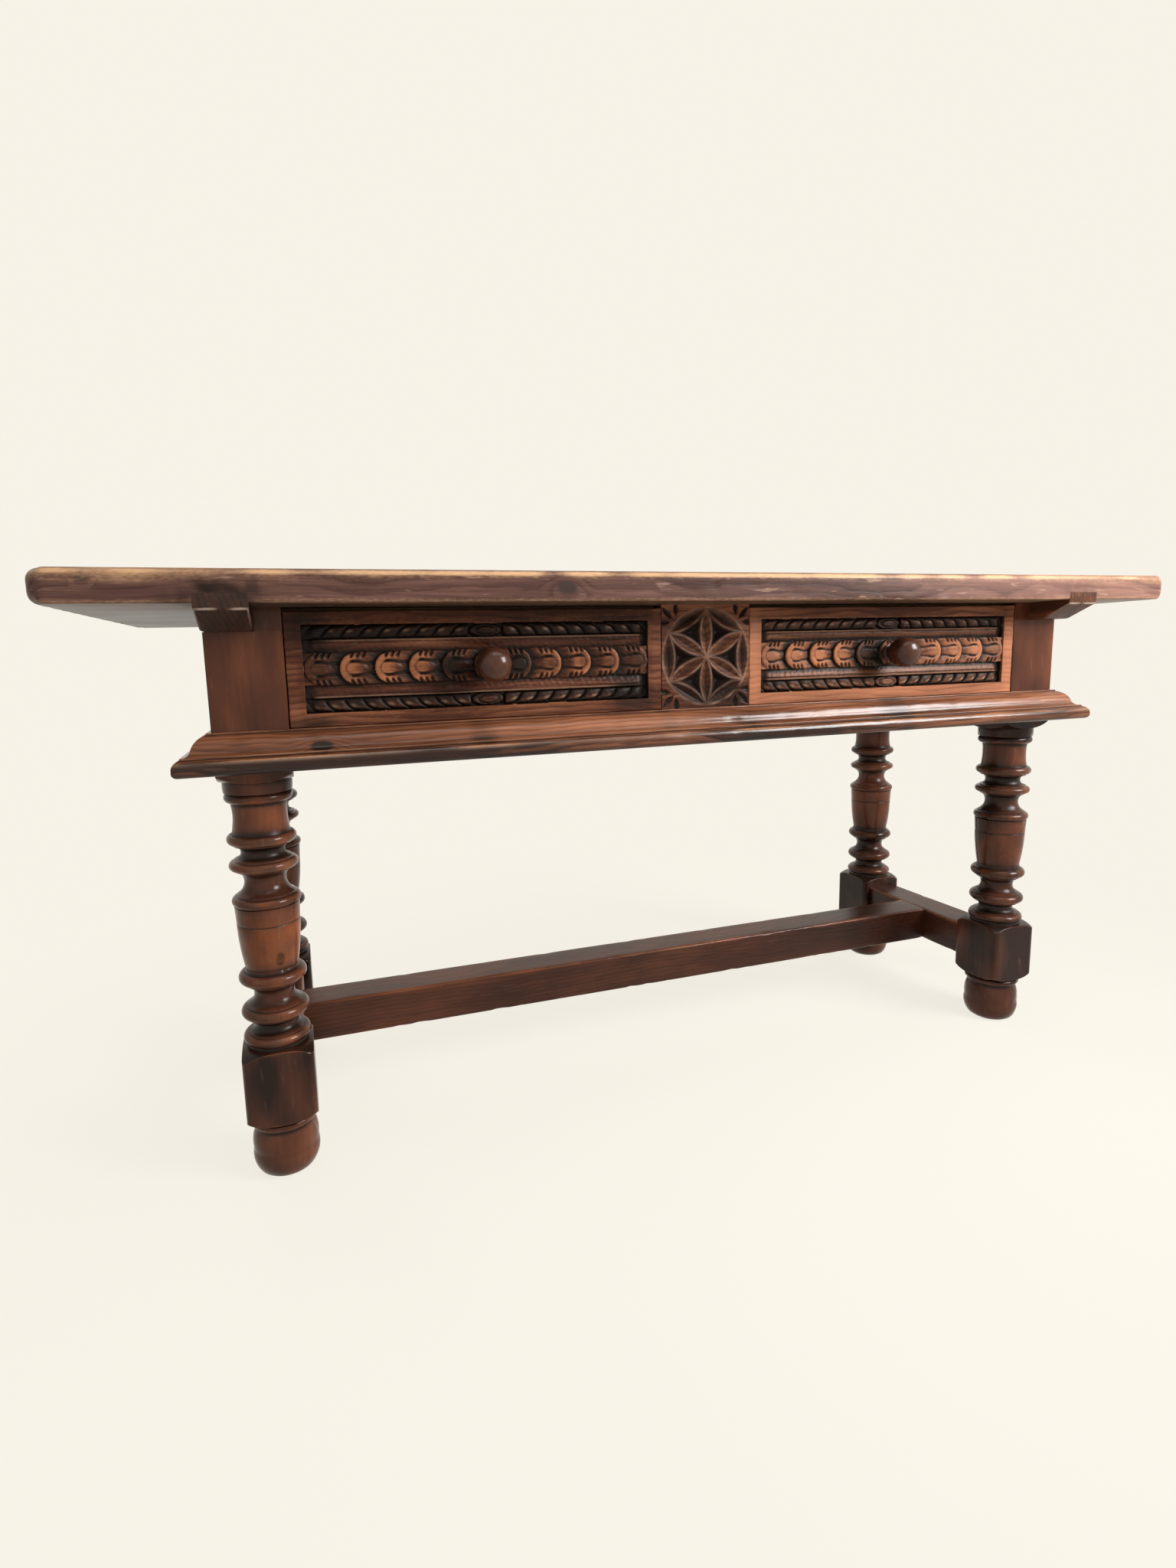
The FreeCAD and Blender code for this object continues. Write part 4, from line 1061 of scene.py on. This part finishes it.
plainFinishes = {"side_apron_left": crossPine, "side_apron_right": crossPine, "back_apron": railPine,
                 "front_rail": railPine, "front_tie_rail": innerRail, "left_drawer_back": innerRail,
                 "right_drawer_back": innerRail}
for name, node in nodes.items():
    if not node.hide_render:
        node.data.materials.clear()
        node.data.materials.append(plainFinishes.get(name, innerPine))
print("plain boards finished")


# floor, light and camera

stage = {"cream": (0.93, 0.89, 0.80), "bounce": (0.75, 0.72, 0.65), "sky": (1.0, 0.98, 0.95), "worldLight": 0.2,
         "floorHalf": 40000.0, "selfShare": 0.88, "nearFloor": 0.5, "farFloor": 1.5}
lamps = {
    "window": {"place": (1.55, -1.5, 1.55), "aim": (0.2, -0.1, 0.6), "size": 0.95, "power": 73.0, "mirrored": True},
    "room": {"place": (-2.6, -2.8, 1.5), "aim": (0.0, 0.0, 0.5), "size": 3.0, "power": 8.0, "mirrored": True},
    "ceiling": {"place": (0.2, -0.6, 3.0), "aim": (0.0, 0.0, 0.5), "size": 2.0, "power": 34.0, "mirrored": True},
    "rear": {"place": (-1.3, 2.6, 1.7), "aim": (0.0, 0.0, 0.5), "size": 2.5, "power": 60.0, "mirrored": False},
}
cameraFit = {"place": (-0.55522, -1.19678, 0.67398), "yaw": 0.30983, "pitch": -0.14393, "roll": -0.02751,
             "focus": 1001.444, "centre": (718.86, 1003.60), "image": (1536, 2048), "sensor": 36.0}


def seenRay(wired, calc):
    # camera, mirror and glass rays alike see the pale backdrop
    rays = wired("ShaderNodeLightPath", output=None).outputs
    seen = calc("MAXIMUM", rays["Is Camera Ray"], rays["Is Glossy Ray"])
    return calc("MAXIMUM", seen, rays["Is Transmission Ray"])


def makeFloor():
    size = stage["floorHalf"]
    mesh = meshOf("floor", [(-size, -size, 0), (size, -size, 0), (size, size, 0), (-size, size, 0)], [(0, 1, 2, 3)])
    paint = bpy.data.materials.new("paleFloor")
    paint.use_nodes = True
    wired, calc, ease, tinted = nodeTools(paint.node_tree)
    seen = seenRay(wired, calc)
    matt = wired("ShaderNodeBsdfDiffuse", {"Color": tinted(seen, stage["bounce"], stage["cream"])})
    glow = wired("ShaderNodeEmission", {"Color": stage["cream"]})
    place = wired("ShaderNodeTexCoord", output="Object")
    away = wired("ShaderNodeVectorMath", {0: place}, "Value", operation="LENGTH")
    fade = ease(away, stage["nearFloor"], stage["farFloor"], stage["selfShare"], 1.0)
    mixed = wired("ShaderNodeMixShader", {0: calc("MULTIPLY", fade, seen), 1: matt, 2: glow})
    wired("ShaderNodeOutputMaterial", {0: mixed}, None)
    mesh.materials.append(paint)
    floor = placed("floor", mesh)


def makeWorld():
    world = bpy.data.worlds.new("studio")
    bpy.context.scene.world = world
    world.use_nodes = True
    wired, calc, _, _ = nodeTools(world.node_tree)
    soft = wired("ShaderNodeBackground", {"Color": stage["sky"], "Strength": stage["worldLight"]})
    pale = wired("ShaderNodeBackground", {"Color": stage["cream"]})
    mixed = wired("ShaderNodeMixShader", {0: seenRay(wired, calc), 1: soft, 2: pale})
    wired("ShaderNodeOutputWorld", {0: mixed}, None)


def makeLamps():
    for name, lamp in lamps.items():
        data = bpy.data.lights.new(name, "AREA")
        data.size = lamp["size"]
        data.energy = lamp["power"]
        light = placed(name, data)
        light.location = lamp["place"]
        light.visible_glossy = lamp["mirrored"]  # the rear lamp would burn white on the left moulding
        light.rotation_euler = (Vector(lamp["aim"]) - Vector(lamp["place"])).to_track_quat("-Z", "Y").to_euler()


def makeCamera():
    yaw, pitch, roll = cameraFit["yaw"], cameraFit["pitch"], cameraFit["roll"]
    level = Vector((math.sin(yaw), math.cos(yaw), 0))
    side = Vector((math.cos(yaw), -math.sin(yaw), 0))
    ahead = level * math.cos(pitch) + Vector((0, 0, 1)) * math.sin(pitch)
    up = -level * math.sin(pitch) + Vector((0, 0, 1)) * math.cos(pitch)
    right = side * math.cos(roll) + up * math.sin(roll)
    upright = -side * math.sin(roll) + up * math.cos(roll)
    data = bpy.data.cameras.new("camera")
    wide, tall = cameraFit["image"]
    data.sensor_fit = "AUTO"
    data.sensor_width = cameraFit["sensor"]
    data.lens = cameraFit["focus"] / tall * cameraFit["sensor"]
    data.shift_x = (wide / 2 - cameraFit["centre"][0]) / tall
    data.shift_y = (cameraFit["centre"][1] - tall / 2) / tall
    camera = placed("camera", data)
    turn = Matrix((right, upright, -ahead)).transposed().to_4x4()
    camera.matrix_world = Matrix.Translation(cameraFit["place"]) @ turn
    bpy.context.scene.camera = camera


makeFloor()
makeWorld()
makeLamps()
makeCamera()
bpy.context.scene.view_settings.view_transform = "Standard"
print("stage lit")
